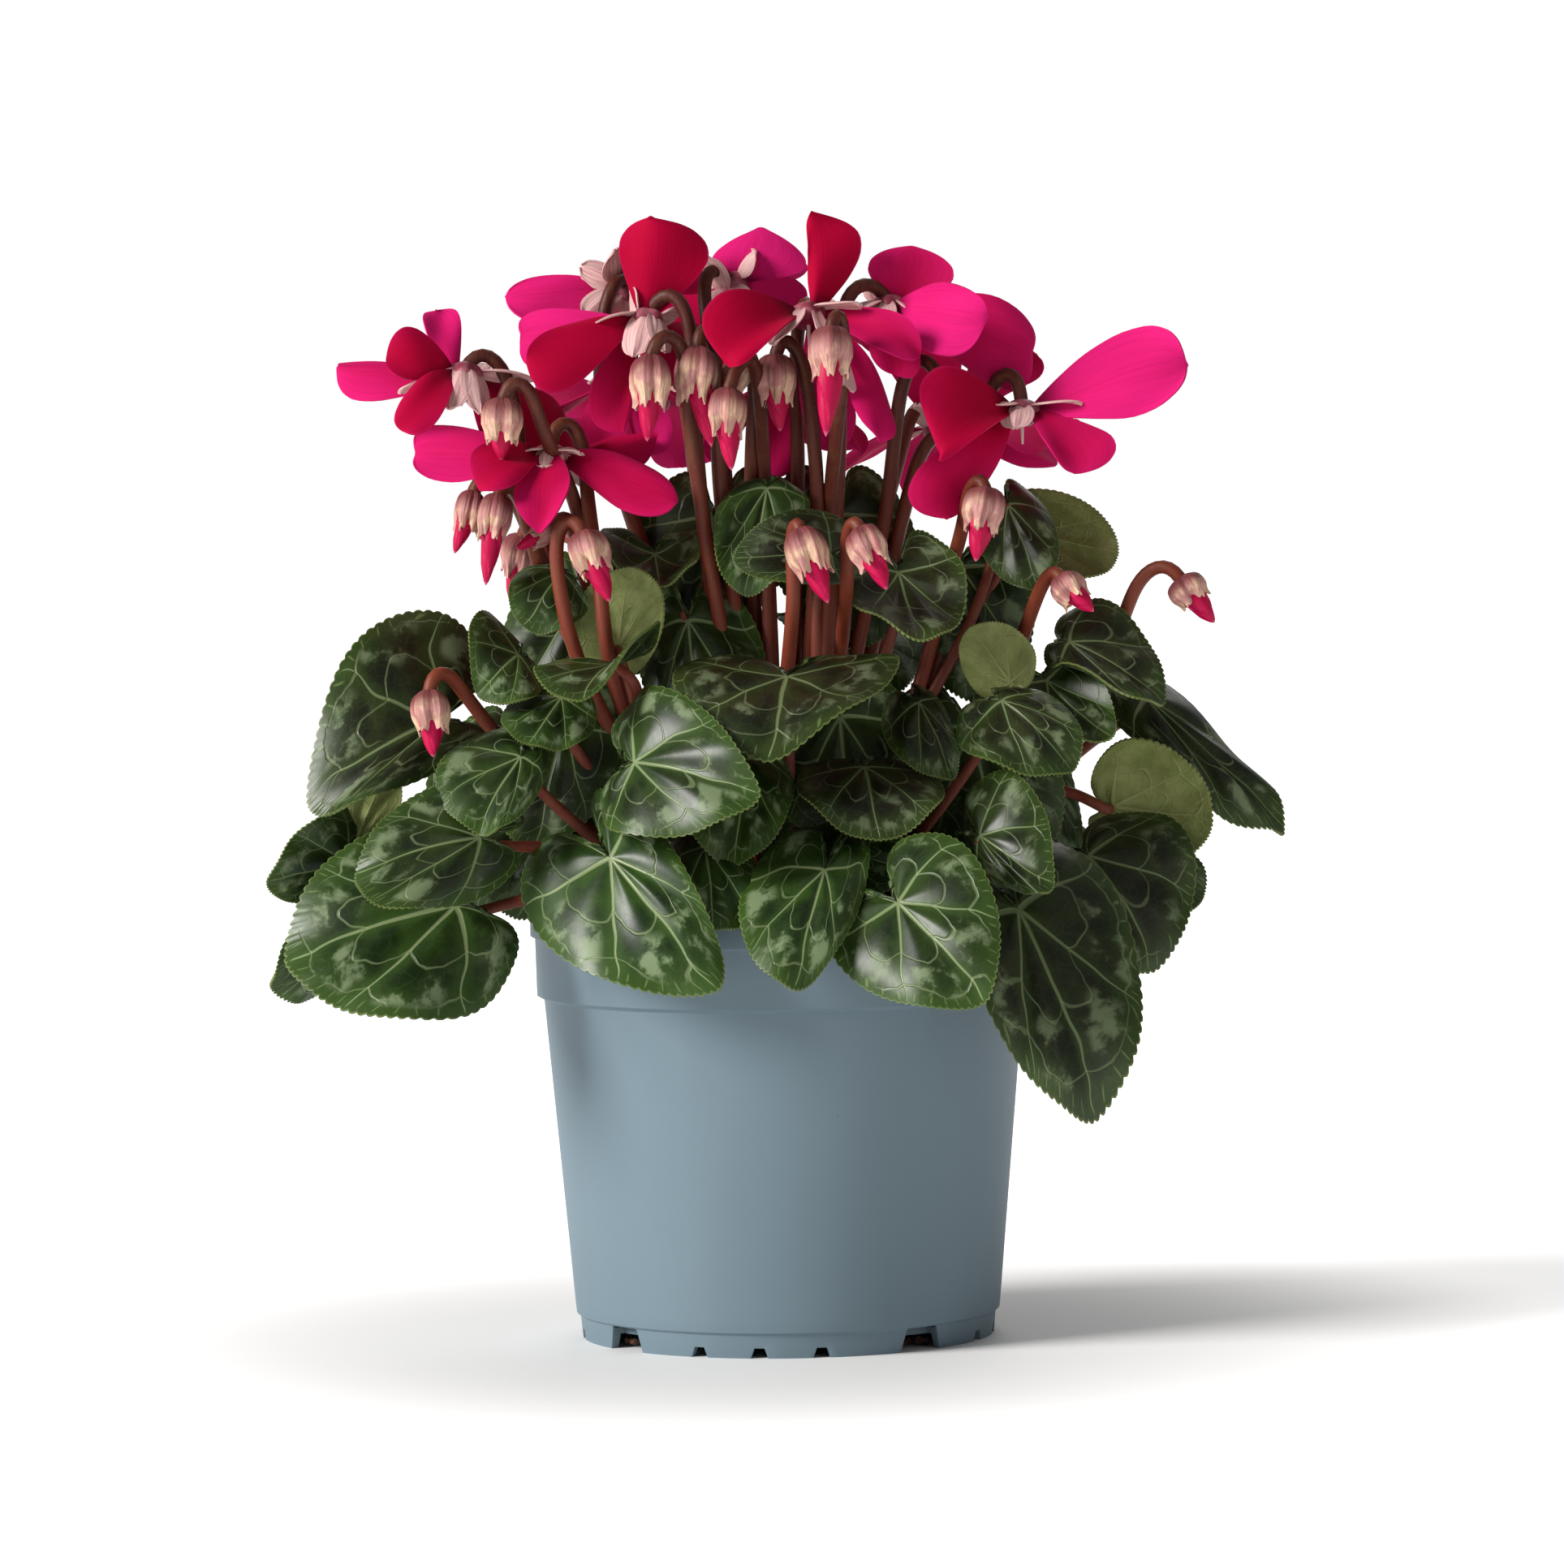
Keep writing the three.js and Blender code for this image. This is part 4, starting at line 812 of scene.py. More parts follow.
BLADES = {name: [row] for name, row in LEAVES.items()}
for name, row in FOLDS.items():
    BLADES[name].append([*row, LEAVES[name][-1]])
for i in range(6):
    degrees, lower = BACK_FIRST + BACK_STEP * i, BACK_STAGGER * (i % 2)
    BLADES[f"leaf_{38 + i}"] = [back_row(LOW, degrees, lower), back_row(MIDDLE, degrees, lower)]
BLADES["leaf_44"] = [back_row(TOP, 38), back_row(TOP, 62)]
BLADES["leaf_45"] = [back_row(TOP, 117), back_row(TOP, 141)]
print("blades:", sum(len(rows) for rows in BLADES.values()))

# %% [markdown]
# ## Leaf shape
# The grid is laid out like a fan: along one side it runs round the edge from lobe to lobe by way of the
# tip, along the other from the stalk to the edge. So teeth, veins and marbling follow the leaf.

# %% Leaves: shape
LEAF_EDGE = [
    (1, 0), (0.975, 0.13), (0.89, 0.34), (0.74, 0.59), (0.53, 0.82), (0.29, 0.965), (0.05, 1), (-0.17, 0.9),
    (-0.32, 0.67), (-0.37, 0.42), (-0.29, 0.21), (-0.13, 0.11), (-0.03, 0),
]
LEAF_THICK = 0.6
LEAF_FOLD = 0.16  # how soft its fold along the midrib is, in half widths
HUB = 0.06  # where the stalk and the veins meet, as a share of its length
TEETH = 78
VEINS = 7
TOOTH, TOOTH_SUNK = 0.02, 0.014  # a tooth's height and how deep its foot lies, as shares of the way out
WAVE, PILLOW, DROOP = 0.042, 0.035, 0.02  # of the edge, between veins and at the rim, in lengths
RIPPLE = 0.25  # in mm
leaf_grid, ROUND, OUT = grid("leaf_grid", 3 * TEETH, 11)


def leaf_blade(name, row, seed):
    # The last number darkens the leaf: partly its own olive-brown, partly painted shade.
    *pose, brown_and_shade = row
    blade = Blade(*pose, WIDEST_LEAF)
    blade.soft = LEAF_FOLD
    size = np.linalg.norm(blade.axis)
    u, v = outline(LEAF_EDGE, np.abs(2 * ROUND - 1))
    v = v * np.where(ROUND < 0.5, 1, -1)
    out = 1 - (1 - OUT) ** 1.25
    tooth = np.abs(np.sin(np.pi * TEETH * ROUND))
    reach = out * (1 + out**14 * (TOOTH * tooth - TOOTH_SUNK))
    u, v = HUB + (u - HUB) * reach, v * reach
    rng = np.random.default_rng(seed)
    a, b, c = rng.uniform(0, 2 * math.pi, 3)
    wave = np.sin(2 * np.pi * 2.5 * ROUND + a) + 0.6 * np.sin(2 * np.pi * 6 * ROUND + b)
    between_veins = 0.5 - 0.5 * np.cos(2 * np.pi * VEINS * (ROUND - 0.5))
    lift = size * (WAVE * out**3 * wave + PILLOW * between_veins * out * (1 - out) * 2)
    lift += -DROOP * size * out**8 + RIPPLE * np.sin(c + 9 * u) * out
    spots = np.stack([v * np.linalg.norm(blade.sides[0]), u * size], 1) * 0.01 + rng.uniform(0, 40, 2)
    piece = laid_out(name, leaf_grid, blade.point(u, v, lift), brown_and_shade, spots)
    return thickened(piece, LEAF_THICK)


print("points of a leaf's grid:", len(ROUND))

# %% [markdown]
# ## Leaf finish
# Upper face: dark green with a cool sheen, pale veins that thin out towards the edge, side veins that leave
# them at a slant and meet half way, a silvery marbled ring in the loops, and a pale toothed edge. The
# pattern is worked out from the fan map, in veins across and in shares of the way out. The underside is
# pale olive.

# %% Leaves: veins
WAY_OUT = 30.0  # of a usual leaf, in mm
VEIN_GAP = 20.0  # between main veins at the edge


def vein_net(f):
    """Masks of main veins, side veins and a fine net, and how far out and off a vein a point is."""
    across, out, _ = f.split(f.laid("sheet"))
    flat = f.laid("flat")
    drift = f.cloud(flat, 6.0, 1.0) - 0.5
    q = (across - 0.5) * VEINS + drift * 0.7 * out
    off = q.near()
    beside = off * out * VEIN_GAP
    middle = abs(q).fall(0.3, 0.5)
    width = (1 - out) * 0.26 + 0.09 + middle * (1 - out * 0.7) * 0.22
    main = (1 - (beside / width).rise(0.55, 1.3)) * out.fall(0.9, 0.98)
    shift = f.cloud(flat, 4.0, 1.0) * 1.6 + f.cloud(flat, 15.0, 1.0) * 0.5
    bow = (off - off * off * 0.7) * 0.55
    ladder = (out - bow) * 2.7 + shift
    side = (ladder.near() * WAY_OUT / 3.6).fall(0.12, 0.4) * (out - bow).rise(0.24, 0.3) * out.fall(0.8, 0.9)
    dashes = ((q * 5.5).near() * 3.6 * out).fall(0.05, 0.26) * out.rise(0.82, 0.88) * out.fall(0.92, 0.97)
    net = f.cells(flat, 34.0).fall(0.0, 0.06)
    return main, side, dashes, net, out, off, flat


print("main veins:", VEINS, "with", VEIN_GAP, "mm between them at the edge")

# %% [markdown]
# ## Leaf faces
# The masks are laid over each other like glazes: ground green, browner and darker on some leaves, partly as
# painted shade, a paler rim, the net, the silver ring, then the side veins and the main ones. The height
# follows the same masks, so the veins are sunk and the leaf swells between them. The underside takes the
# same veins, raised, so both faces match, and is darkened by the same share, partly as painted shade.


# %% Leaves: finishes
def leaf_top():
    f = Finish("leaf upper face", 0.32, 0.34)
    main, side, dashes, net, out, off, flat = vein_net(f)
    # brown_and_shade: the leaf's own olive-brown and, on leaves that lie in shade, painted shade.
    brown_and_shade = f.value("tint")
    patch = f.cloud(flat, 13.0, 1.5)
    fine = f.cloud(flat, 60.0, 5.0, 0.65)
    beside = off * out * VEIN_GAP
    green = f.blend(patch.rise(0.3, 0.7), dye("#13250A"), dye("#2A4214"))
    # olive_and_shade: the darkest ground, for olive-brown leaves and for painted shade.
    olive_and_shade = f.blend(patch.rise(0.3, 0.7), dye("#100E06"), dye("#25220F"))
    ring = out.rise(0.46, 0.58) * out.fall(0.8, 0.9) * off.rise(0.1, 0.24)
    blots = (patch * 0.7 + fine * 0.3).rise(0.485, 0.6)
    silver = ring * blots * (1 - brown_and_shade * 0.4)
    base = f.layers(
        f.blend(brown_and_shade, green, olive_and_shade),
        (out.rise(0.55, 1.0) * (0.75 - brown_and_shade * 0.35), "#37501C"),
        (beside.fall(0.1, 2.2) * (1 - brown_and_shade * 0.6) * 0.35, "#3E5C26"),
        (net * 0.1, "#4C6A38"),
        (silver * 0.66, "#82936F"),
        (dashes * 0.5, "#73874E"),
        (side * (0.5 - brown_and_shade * 0.22), "#7D8D62"),
        (main * (0.72 - brown_and_shade * 0.32), "#8A996C"),
        (out.rise(0.97, 1.0) * 0.55, "#7E8C50"),
    )
    height = (off - off * off) * out * 2.0 - main * 0.3 - side * 0.3 + fine * 0.06
    rough = 0.28 + silver * 0.1 + fine * 0.14
    return f.wear(colour=base, roughness=rough, normal=f.emboss(height, 0.0009, 0.5))


def leaf_under():
    f = Finish("leaf underside", 0.5, 0.3)
    main, side, dashes, net, *_, flat = vein_net(f)
    patch = f.cloud(flat, 20.0, 3.0)
    base = f.layers(
        f.blend(patch.rise(0.3, 0.7), dye("#748044"), dye("#929C5E")),
        # The tint darkens the underside: partly its own olive, partly painted shade.
        (f.value("tint") * 0.7, "#545229"),
        ((side + net * 0.3).most(dashes) * 0.3, "#8E9A60"),
        (main * 0.5, "#9A9C66"),
    )
    height = main + side * 0.6 + net * 0.2
    return f.wear(colour=base, normal=f.emboss(height, 0.0008, 0.5))


def leaf_edge():
    f = Finish("leaf edge", 0.5, 0.3)
    return f.wear(colour=f.blend(f.cloud(f.place(), 500.0), dye("#64783E"), dye("#94A062")))


leaf_coat = [leaf_top(), leaf_under(), leaf_edge()]
print("leaf finishes:", [finish.name for finish in leaf_coat])

# %% [markdown]
# ## Leaves in place
# The blades of one leaf are joined and stand for its solid. Where a leaf is turned up and shows its
# underside, its two faces change finishes: turning the blade itself over would swap its left and right.

# %% Leaves: in place
turned_over = [leaf_coat[1], leaf_coat[0], leaf_coat[2]]
for number, (node, rows) in enumerate(BLADES.items()):
    name = node.replace("leaf", "blade")
    made = [leaf_blade(f"{name}_{i}", row, 31 * number + i) for i, row in enumerate(rows)]
    coat = turned_over if node in UNDERSIDE_SHOWS else leaf_coat
    leaf = fused(name, [coated(piece, *(turned_over if i and node in FOLDS else coat))
                        for i, piece in enumerate(made)])
    stands_for(smooth(leaf, 50), "leaf_green", node)
inner_rows = enumerate(INNER_LEAVES.items())
made = [coated(leaf_blade(name, row, 7 + i), *leaf_coat) for i, (name, row) in inner_rows]
stands_for(smooth(fused("inner_blades", made), 50), "leaf_green", "crown")

# %% [markdown]
# ## Blooms
# A cyclamen bloom hangs mouth down and turns its five petals back and up. Each row gives the throat, the
# way the mouth faces, the petals (tip, widest points, bow, and how pink against crimson) and the sepal tips.
# How pink a petal is stands partly for its own colour and partly for painted light: petals that the light
# shines through are made pinker.

# %% Blooms: measured poses
BLOOMS = {
    "bloom_a": ([-73, -10, 228], [-0.1, -0.35, -0.93], [
        [[-80, 4, 244], [-75, 4, 239], [-83, 0, 238], [1, 1], 0.75],
        [[-91, -16, 233], [-84, -13, 239], [-86, -18, 227], [2, -1], 0.15],
        [[-103, -6, 231], [-94, -8, 222], [-94, -4, 231], [-2, 1], 0.6],
        [[-88, -28, 216], [-85, -21, 226], [-79, -28, 217], [2, -1], 0.2],
        [[-49, 9, 206], [-68, -1, 210], [-52, 14, 222], [2, -2], 0.3],
    ], [[-88, -14, 224], [-76, -22, 220], [-69, -21, 219], [-57, -6, 227], [-70, 2, 231]]),
    "bloom_b": ([-53, -16, 208.5], [0, -0.3, -0.95], [
        [[-85, -6, 210], [-76, -8, 203], [-76, -2, 216], [-2, 1], 0.65],
        [[-69, -34, 201], [-68, -24, 213], [-60, -34, 203], [2, -2], 0.15],
        [[-55, -36, 191], [-61, -30, 202], [-48, -30, 203], [2, -1], 0.4],
        [[-23, -26, 198], [-36, -28, 196], [-34, -18, 209], [2, -1], 0.35],
        [[-28, -5, 214], [-37, -8, 206], [-38, -1, 213], [1, -1], 0.25],
    ], [[-60, -20, 209], [-54, -25, 206], [-46, -21, 209], [-43, -14, 201], [-55, -8, 208]]),
    "bloom_c": ([-30, -10, 240], [-0.1, -0.45, -0.88], [
        [[-29, -4, 265], [-16, 0, 254], [-37, -2, 256], [2, 2], 0],
        [[-58, -24, 231], [-49, -17, 240], [-47, -27, 226], [2, -2], 0.05],
        [[-60, -4, 238], [-51, -6, 229], [-52, 0, 243], [-2, 1], 0.85],
        [[-36, -19, 214], [-43, -17, 225], [-33, -16, 223], [2, -1], 0.3],
        [[-13, 15, 231], [-24, 3, 225], [-18, 12, 240], [2, -1], 0.3],
    ], [[-43, -15, 239], [-33, -21, 232], [-26, -19, 233], [-34, -7, 248], [-22, -8, 242]]),
    "bloom_d": ([-36, 14, 249], [-0.1, 0.8, -0.55], [
        [[-64, 12, 247], [-54, 8, 240], [-54, 14, 252], [-2, 1], 0.8],
        [[-48, 8, 234], [-52, 10, 240], [-40, 8, 236], [1, -1], 0.6],
        [[-28, 22, 262], [-36, 20, 258], [-22, 18, 256], [-2, 1], 0.6],
        [[-17, 32, 254], [-24, 28, 258], [-21, 28, 247], [-2, 1], 0.7],
        [[-36, 40, 236], [-26, 32, 240], [-44, 34, 240], [-2, 1], 0.7],
    ], [[-45, 4, 242], [-38, 6, 258], [-28, 10, 254], [-32, 14, 240], [-46, 14, 254]]),
    "bloom_e": ([-10, 14, 249], [0.5, 0.5, -0.7], [
        [[-3, 16, 263], [-15, 14, 255], [7, 14, 253], [-2, 2], 1],
        [[8, 24, 246], [2, 18, 252], [2, 22, 240], [2, -1], 0.9],
        [[-14, 26, 232], [-18, 22, 238], [-6, 24, 236], [2, -1], 0.7],
        [[-15, 42, 243], [-17, 36, 237], [-11, 34, 248], [-2, 1], 0.8],
        [[2, 42, 256], [-4, 34, 260], [4, 34, 250], [-2, 1], 0.8],
    ], [[-16, 8, 256], [-16, 9, 245], [-8, 7, 243], [-4, 12, 257], [-16, 20, 252]]),
    "bloom_f": ([8, -8, 241], [0, -0.4, -0.92], [
        [[-11, -28, 229], [-13, -22, 246], [-2, -29, 234], [2, -2], 0],
        [[9, 0, 266], [19, 4, 255], [7, -2, 254], [1, 1], 0],
        [[34, -18, 231], [24, -22, 233], [27, -14, 241], [2, -1], 0.45],
        [[24, -22, 211], [18, -22, 223], [27, -16, 224], [1, -1], 0.5],
        [[13, -2, 209], [6, -6, 222], [18, 0, 222], [1, -1], 0.6],
    ], [[18, -26, 223], [20, -16, 243], [0, -19, 234], [-2, -4, 240], [12, 2, 245]]),
    "bloom_g": ([27, 6, 243], [0.1, -0.2, -0.97], [
        [[33, 12, 258], [42, 10, 249], [22, 8, 252], [2, 2], 0.5],
        [[50, -12, 240], [42, -8, 248], [38, -14, 231], [-2, 1], 0.95],
        [[61, 4, 232], [50, -2, 225], [53, 6, 245], [2, -1], 0.5],
        [[28, -12, 227], [22, -8, 234], [34, -10, 232], [1, -1], 0.4],
        [[20, 34, 236], [30, 24, 234], [16, 22, 242], [2, -1], 0.5],
    ], [[18, 0, 242], [24, -6, 236], [36, 2, 240], [24, 12, 250], [34, 14, 244]]),
    "bloom_h": ([58, -6, 217.5], [0, -0.3, -0.95], [
        [[38, -28, 208], [38, -20, 228], [46, -28, 211], [2, -2], 0.1],
        [[40, -18, 193], [33, -16, 204], [52, -12, 205], [2, -1], 0.3],
        [[70, -20, 203], [62, -18, 210], [78, -14, 211], [2, -1], 0.45],
        [[97, -8, 228], [82, -2, 236], [84, -12, 216], [-2, 1], 0.8],
        [[66, 22, 210], [72, 10, 214], [54, 14, 212], [2, -1], 0.4],
    ], [[50, -12, 219], [56, -16, 214], [72, -10, 219], [66, 2, 220], [52, 3, 219]]),
    "bloom_i": ([-35, 12, 228], [0, -0.2, -0.98], [
        [[-42, 2, 207], [-47, 4, 217], [-35, 2, 217], [1, -1], 0.5],
        [[-29, 2, 209], [-35, 4, 218], [-25, 4, 217], [1, -1], 0.7],
        [[-14, 18, 216], [-20, 12, 222], [-22, 22, 220], [1, -1], 0.4],
        [[-34, 34, 212], [-40, 26, 218], [-27, 28, 218], [1, -1], 0.4],
        [[-58, 18, 214], [-50, 22, 220], [-50, 12, 220], [1, -1], 0.5],
    ], [[-44, 8, 226], [-37, 3, 226], [-27, 7, 226], [-30, 20, 227], [-42, 18, 227]]),
    "bloom_j": ([2, 16, 226], [0, -0.2, -0.98], [
        [[0, 4, 203], [-7, 6, 215], [7, 6, 214], [1, -1], 0.5],
        [[-12, 8, 207], [-16, 12, 215], [-7, 6, 215], [1, -1], 0.6],
        [[20, 10, 208], [15, 6, 216], [18, 16, 218], [1, -1], 0.4],
        [[12, 38, 210], [20, 28, 216], [4, 30, 216], [1, -1], 0.4],
        [[-16, 34, 214], [-8, 32, 218], [-14, 24, 220], [1, -1], 0.5],
    ], [[-6, 10, 225], [2, 6, 224], [11, 12, 225], [6, 25, 226], [-5, 23, 226]]),
    "bloom_k": ([-30, 44, 222], [-0.1, 0.35, -0.93], [
        [[-58, 42, 226], [-50, 48, 219], [-50, 36, 230], [-2, 1], 0.5],
        [[-48, 62, 212], [-38, 64, 216], [-50, 54, 222], [2, -1], 0.6],
        [[-24, 70, 206], [-14, 64, 214], [-32, 64, 212], [2, -1], 0.6],
        [[-8, 58, 236], [-8, 50, 228], [-18, 60, 240], [2, -1], 0.5],
        [[-24, 42, 252], [-34, 42, 244], [-14, 44, 243], [2, 1], 0.4],
    ], [[-40, 40, 222], [-34, 54, 220], [-22, 52, 221], [-22, 40, 226], [-32, 36, 228]]),
    "bloom_l": ([40, 40, 214], [0.15, 0.3, -0.93], [
        [[16, 50, 204], [24, 56, 208], [22, 42, 212], [2, -1], 0.5],
        [[40, 66, 198], [48, 60, 206], [30, 60, 206], [2, -1], 0.6],
        [[68, 48, 208], [60, 40, 204], [58, 54, 216], [2, -1], 0.5],
        [[62, 26, 232], [60, 32, 224], [50, 24, 232], [-2, 1], 0.4],
        [[36, 44, 244], [26, 42, 234], [46, 44, 234], [2, 1], 0.4],
    ], [[31, 46, 212], [44, 50, 210], [50, 40, 214], [44, 30, 218], [34, 32, 220]]),
}
print("blooms:", len(BLOOMS))

# %% [markdown]
# ## Petals
# A petal is a grid drawn to the petal's outline, with more rows near the tip, a soft fold along the middle
# and a slow wave along its edges. It starts inside the corolla's short tube.

# %% Petals: shape
PETAL_EDGE = [(0, 0.14), (0.05, 0.24), (0.2, 0.5), (0.42, 0.83), (0.62, 1), (0.78, 0.97), (0.9, 0.78),
              (0.965, 0.53), (0.99, 0.3), (1, 0.1)]
WIDEST_PETAL = 0.62
PETAL_THICK = 0.45
PETAL_FOLD = 0.4  # how soft its fold along the middle is, in half widths
HUB_RADIUS, HUB_HALF = 4.2, 2.5
PETAL_INSET = 1.4  # how far inside the tube's wall a petal starts
petal_grid, ACROSS, ALONG = grid("petal_grid", 18, 30)


def hub_of(node):
    """The middle of a bloom's tube and the way its mouth faces."""
    throat, mouth = BLOOMS[node][:2]
    return np.array(throat, float), unit(np.array(mouth, float))


def root_on(centre, facing, tip, radius):
    """The point of a ring round the tube that is nearest to a tip."""
    way = np.array(tip, float) - centre
    return centre + radius * unit(way - facing * np.dot(way, facing))


def petal(name, centre, facing, row, seed):
    # The pink share is partly painted light, for petals that the light shines through.
    tip, left, right, shape, pink_and_backlight = row
    at = root_on(centre, facing, tip, HUB_RADIUS - PETAL_INSET)
    blade = Blade(at, tip, left, right, shape, WIDEST_PETAL)
    size = np.linalg.norm(blade.axis)
    u, half = outline(PETAL_EDGE, ALONG)
    blade.soft = PETAL_FOLD * half
    c = 1 - 2 * ACROSS
    v = c * half
    a, b = np.random.default_rng(seed).uniform(0, 2 * math.pi, 2)
    lift = size * u * half * (0.07 * c**2 * np.sin(5.5 * u + a) + 0.03 * np.sin(4 * u + 3 * v + b))
    lift += size * (0.07 * c * u**2 * half * np.sin(a + b) - 0.03 * c**4 * u * half)
    piece = laid_out(name, petal_grid, blade.point(u, v, lift), pink_and_backlight)
    return thickened(piece, PETAL_THICK)


print("points of a petal's grid:", len(ALONG))

# %% [markdown]
# ## Petal finish
# A petal is darkest at its root, where it goes into the tube: partly its own deeper colour, partly painted
# shade. It turns pinker towards its edges and its tip, each petal to its own degree, which is partly painted
# light on petals that the light shines through. It is matt and silky, with fine lines along it. A glossier
# skin was the other choice, but it would look wet.


# %% Petals: finish
def petal_finish(name, crimson, pink, deep):
    f = Finish(name, 0.75, 0.06)
    sheet = f.laid("sheet")
    across, along, _ = f.split(sheet)
    flow = f.cloud(f.stretch(sheet, 9.0, 0.9), 2.6, 4.0, 0.6)
    cloudy = f.cloud(f.place(), 55.0, 2.0)
    # pink_and_backlight: the petal's pinkness, partly its own colour, partly painted light shining through
    # it.
    pink_and_backlight = f.value("tint") + (cloudy - 0.5) * 0.35 + (along - 0.6) * 0.25 + abs(across - 0.5) * 0.3 - 0.07
    rim = abs(across - 0.5).rise(0.47, 0.5).most(along.rise(0.975, 1.0))
    base = f.layers(
        f.blend(pink_and_backlight.rise(0.0, 1.0), dye(crimson), dye(pink)),
        (flow.rise(0.42, 0.75) * 0.2, deep),
        # Painted shade, with a deeper base colour: darkest where the petal goes into the tube.
        (along.fall(0.04, 0.24) * 0.8, "#50001A"),
        (rim * 0.25, "#C8286E"),
    )
    height = flow + (across * 26 + flow * 0.6).near() * 0.3
    return f.wear(colour=base, normal=f.emboss(height, 0.0003, 0.25))


petal_coat = [
    petal_finish("petal inner face", "#A4002E", "#D21C70", "#800022"),
    petal_finish("petal outer face", "#B00036", "#D02074", "#8C0030"),
    petal_finish("petal edge", "#B20038", "#D4307C", "#900030"),
]
for number, (node, (_, _, petals, _)) in enumerate(BLOOMS.items()):
    made = [petal(f"{node}_petal_{i}", *hub_of(node), row, 17 * number + i) for i, row in enumerate(petals)]
    corolla = fused(node.replace("bloom", "petals"), [coated(piece, *petal_coat) for piece in made])
    stands_for(smooth(corolla, 60), "petal_red", node)

# %% [markdown]
# ## Rolled grids: stalks, buds and the corolla's tube
# A grid rolled round a path makes a stalk: across goes round it, along goes up it, and its first and last
# rows close on the path. The frame that is carried along the path does not twist.

# %% Rolled grids
STATIONS = 72
stalk_grid, TURN, UP = grid("stalk_grid", 12, STATIONS + 1)
cup_grid, CUP_TURN, CUP_DOWN = grid("cup_grid", 60, 16)


def axes_for(way):
    """Two directions square to way, with which it makes a right-handed set."""
    way = unit(np.array(way, float))
    first = unit(np.cross(way, (0, 0, 1) if abs(way[2]) < 0.9 else (1, 0, 0)))
    return first, np.cross(way, first), way


def rolled(name, path, radius, tint):
    """A stalk along a path of points; radius is a function of the share of the way up."""
    line = smooth_line(path, STATIONS, eased=6)
    ways = unit(np.gradient(line, axis=0))
    first = axes_for(ways[0])[0]
    firsts = []
    for way in ways:
        first = unit(first - way * np.dot(first, way))
        firsts.append(first)
    firsts = np.array(firsts)
    seconds = np.cross(ways, firsts)
    step = np.round(UP * (STATIONS + 1)).astype(int)
    at = np.clip(step - 1, 0, STATIONS - 1)
    size = np.where((step == 0) | (step == STATIONS + 1), 0, radius(at / (STATIONS - 1)))
    turn = 2 * np.pi * TURN
    ring = np.cos(turn)[:, None] * firsts[at] + np.sin(turn)[:, None] * seconds[at]
    return laid_out(name, stalk_grid, line[at] + size[:, None] * ring, tint)


def cup(name, start, way, around, along):
    """A rolled grid about a straight axis; around and along give radius and distance, in mm."""
    first, second, way = axes_for(way)
    turn = 2 * np.pi * CUP_TURN
    ring = np.cos(turn)[:, None] * first + np.sin(turn)[:, None] * second
    r, z = around(turn, CUP_DOWN), along(turn, CUP_DOWN)
    return laid_out(name, cup_grid, start + r[:, None] * ring + z[:, None] * way, 0.5)


print("points of a stalk's grid:", len(TURN), "and of a cup's:", len(CUP_TURN))

# %% [markdown]
# ## Flower and leaf stalks
# Flower stalks are 3.4 mm thick, dark brown-red and hooked at the top, so that the bloom hangs. Leaf stalks
# are thinner and paler. Each follows the points that the frame's stems follow, smoothed into one curve.

# %% Stalks: measured ways
BUDS = {
    "bud_01": ([-29, -26, 232], [-29, -29, 219], [-30, -30, 212], 4.4),
    "bud_02": ([-18, -20, 234], [-19, -23, 220], [-15, -25, 210.5], 4.6),
    "bud_03": ([-11, -24, 224], [-12, -27, 212], [-10.5, -28, 205], 4.2),
    "bud_04": ([0, -12, 232], [0, -14, 219.5], [1, -14, 214], 4.4),
    "bud_05": ([13, -28, 238], [13, -32, 225], [11.5, -34, 212.5], 4.7),
    "bud_06": ([-7, -10, 232], [-11, -13, 223], [-13, -14, 220], 3.4),
    "bud_07": ([-63.5, -27, 222.5], [-64, -28, 211.5], [-64, -28, 208], 4.4),
    "bud_08": ([-71, -20, 201], [-73, -22, 191], [-75.5, -23, 186.5], 3.2),
    "bud_09": ([-65, -26, 200], [-67, -29, 189], [-68, -30, 179], 3.8),
    "bud_10": ([-53, -20, 192], [-58, -24, 189], [-61, -25, 187.5], 2.6),
    "bud_11": ([-45, -34, 191], [-42, -38, 181], [-39, -39, 175], 4.5),
    "bud_12": ([5, -36, 191], [9, -40, 180], [11.5, -41, 174], 4.6),
    "bud_13": ([19, -38, 191], [23, -42, 182], [25, -43, 177], 4.3),
    "bud_14": ([49, -24, 200], [47, -27, 189], [46, -28, 183], 4.6),
    "bud_15": ([66, -22, 179], [70, -25, 173], [73.5, -26, 171], 3.9),
    "bud_16": ([95, -4, 178], [99, -5, 172], [103, -5, 167.5], 4.3),
    "bud_17": ([-81, -43, 155], [-80, -46, 145], [-80, -47, 140], 4.2),
    "bud_18": ([20, 58, 198], [22, 62, 187], [23, 63, 180], 4.4),
    "bud_19": ([-62, 40, 190], [-64, 44, 180], [-65, 46, 173], 4.2),
    "bud_20": ([38.5, -10, 227], [39, -12, 217], [39, -13, 211], 3.8),
}
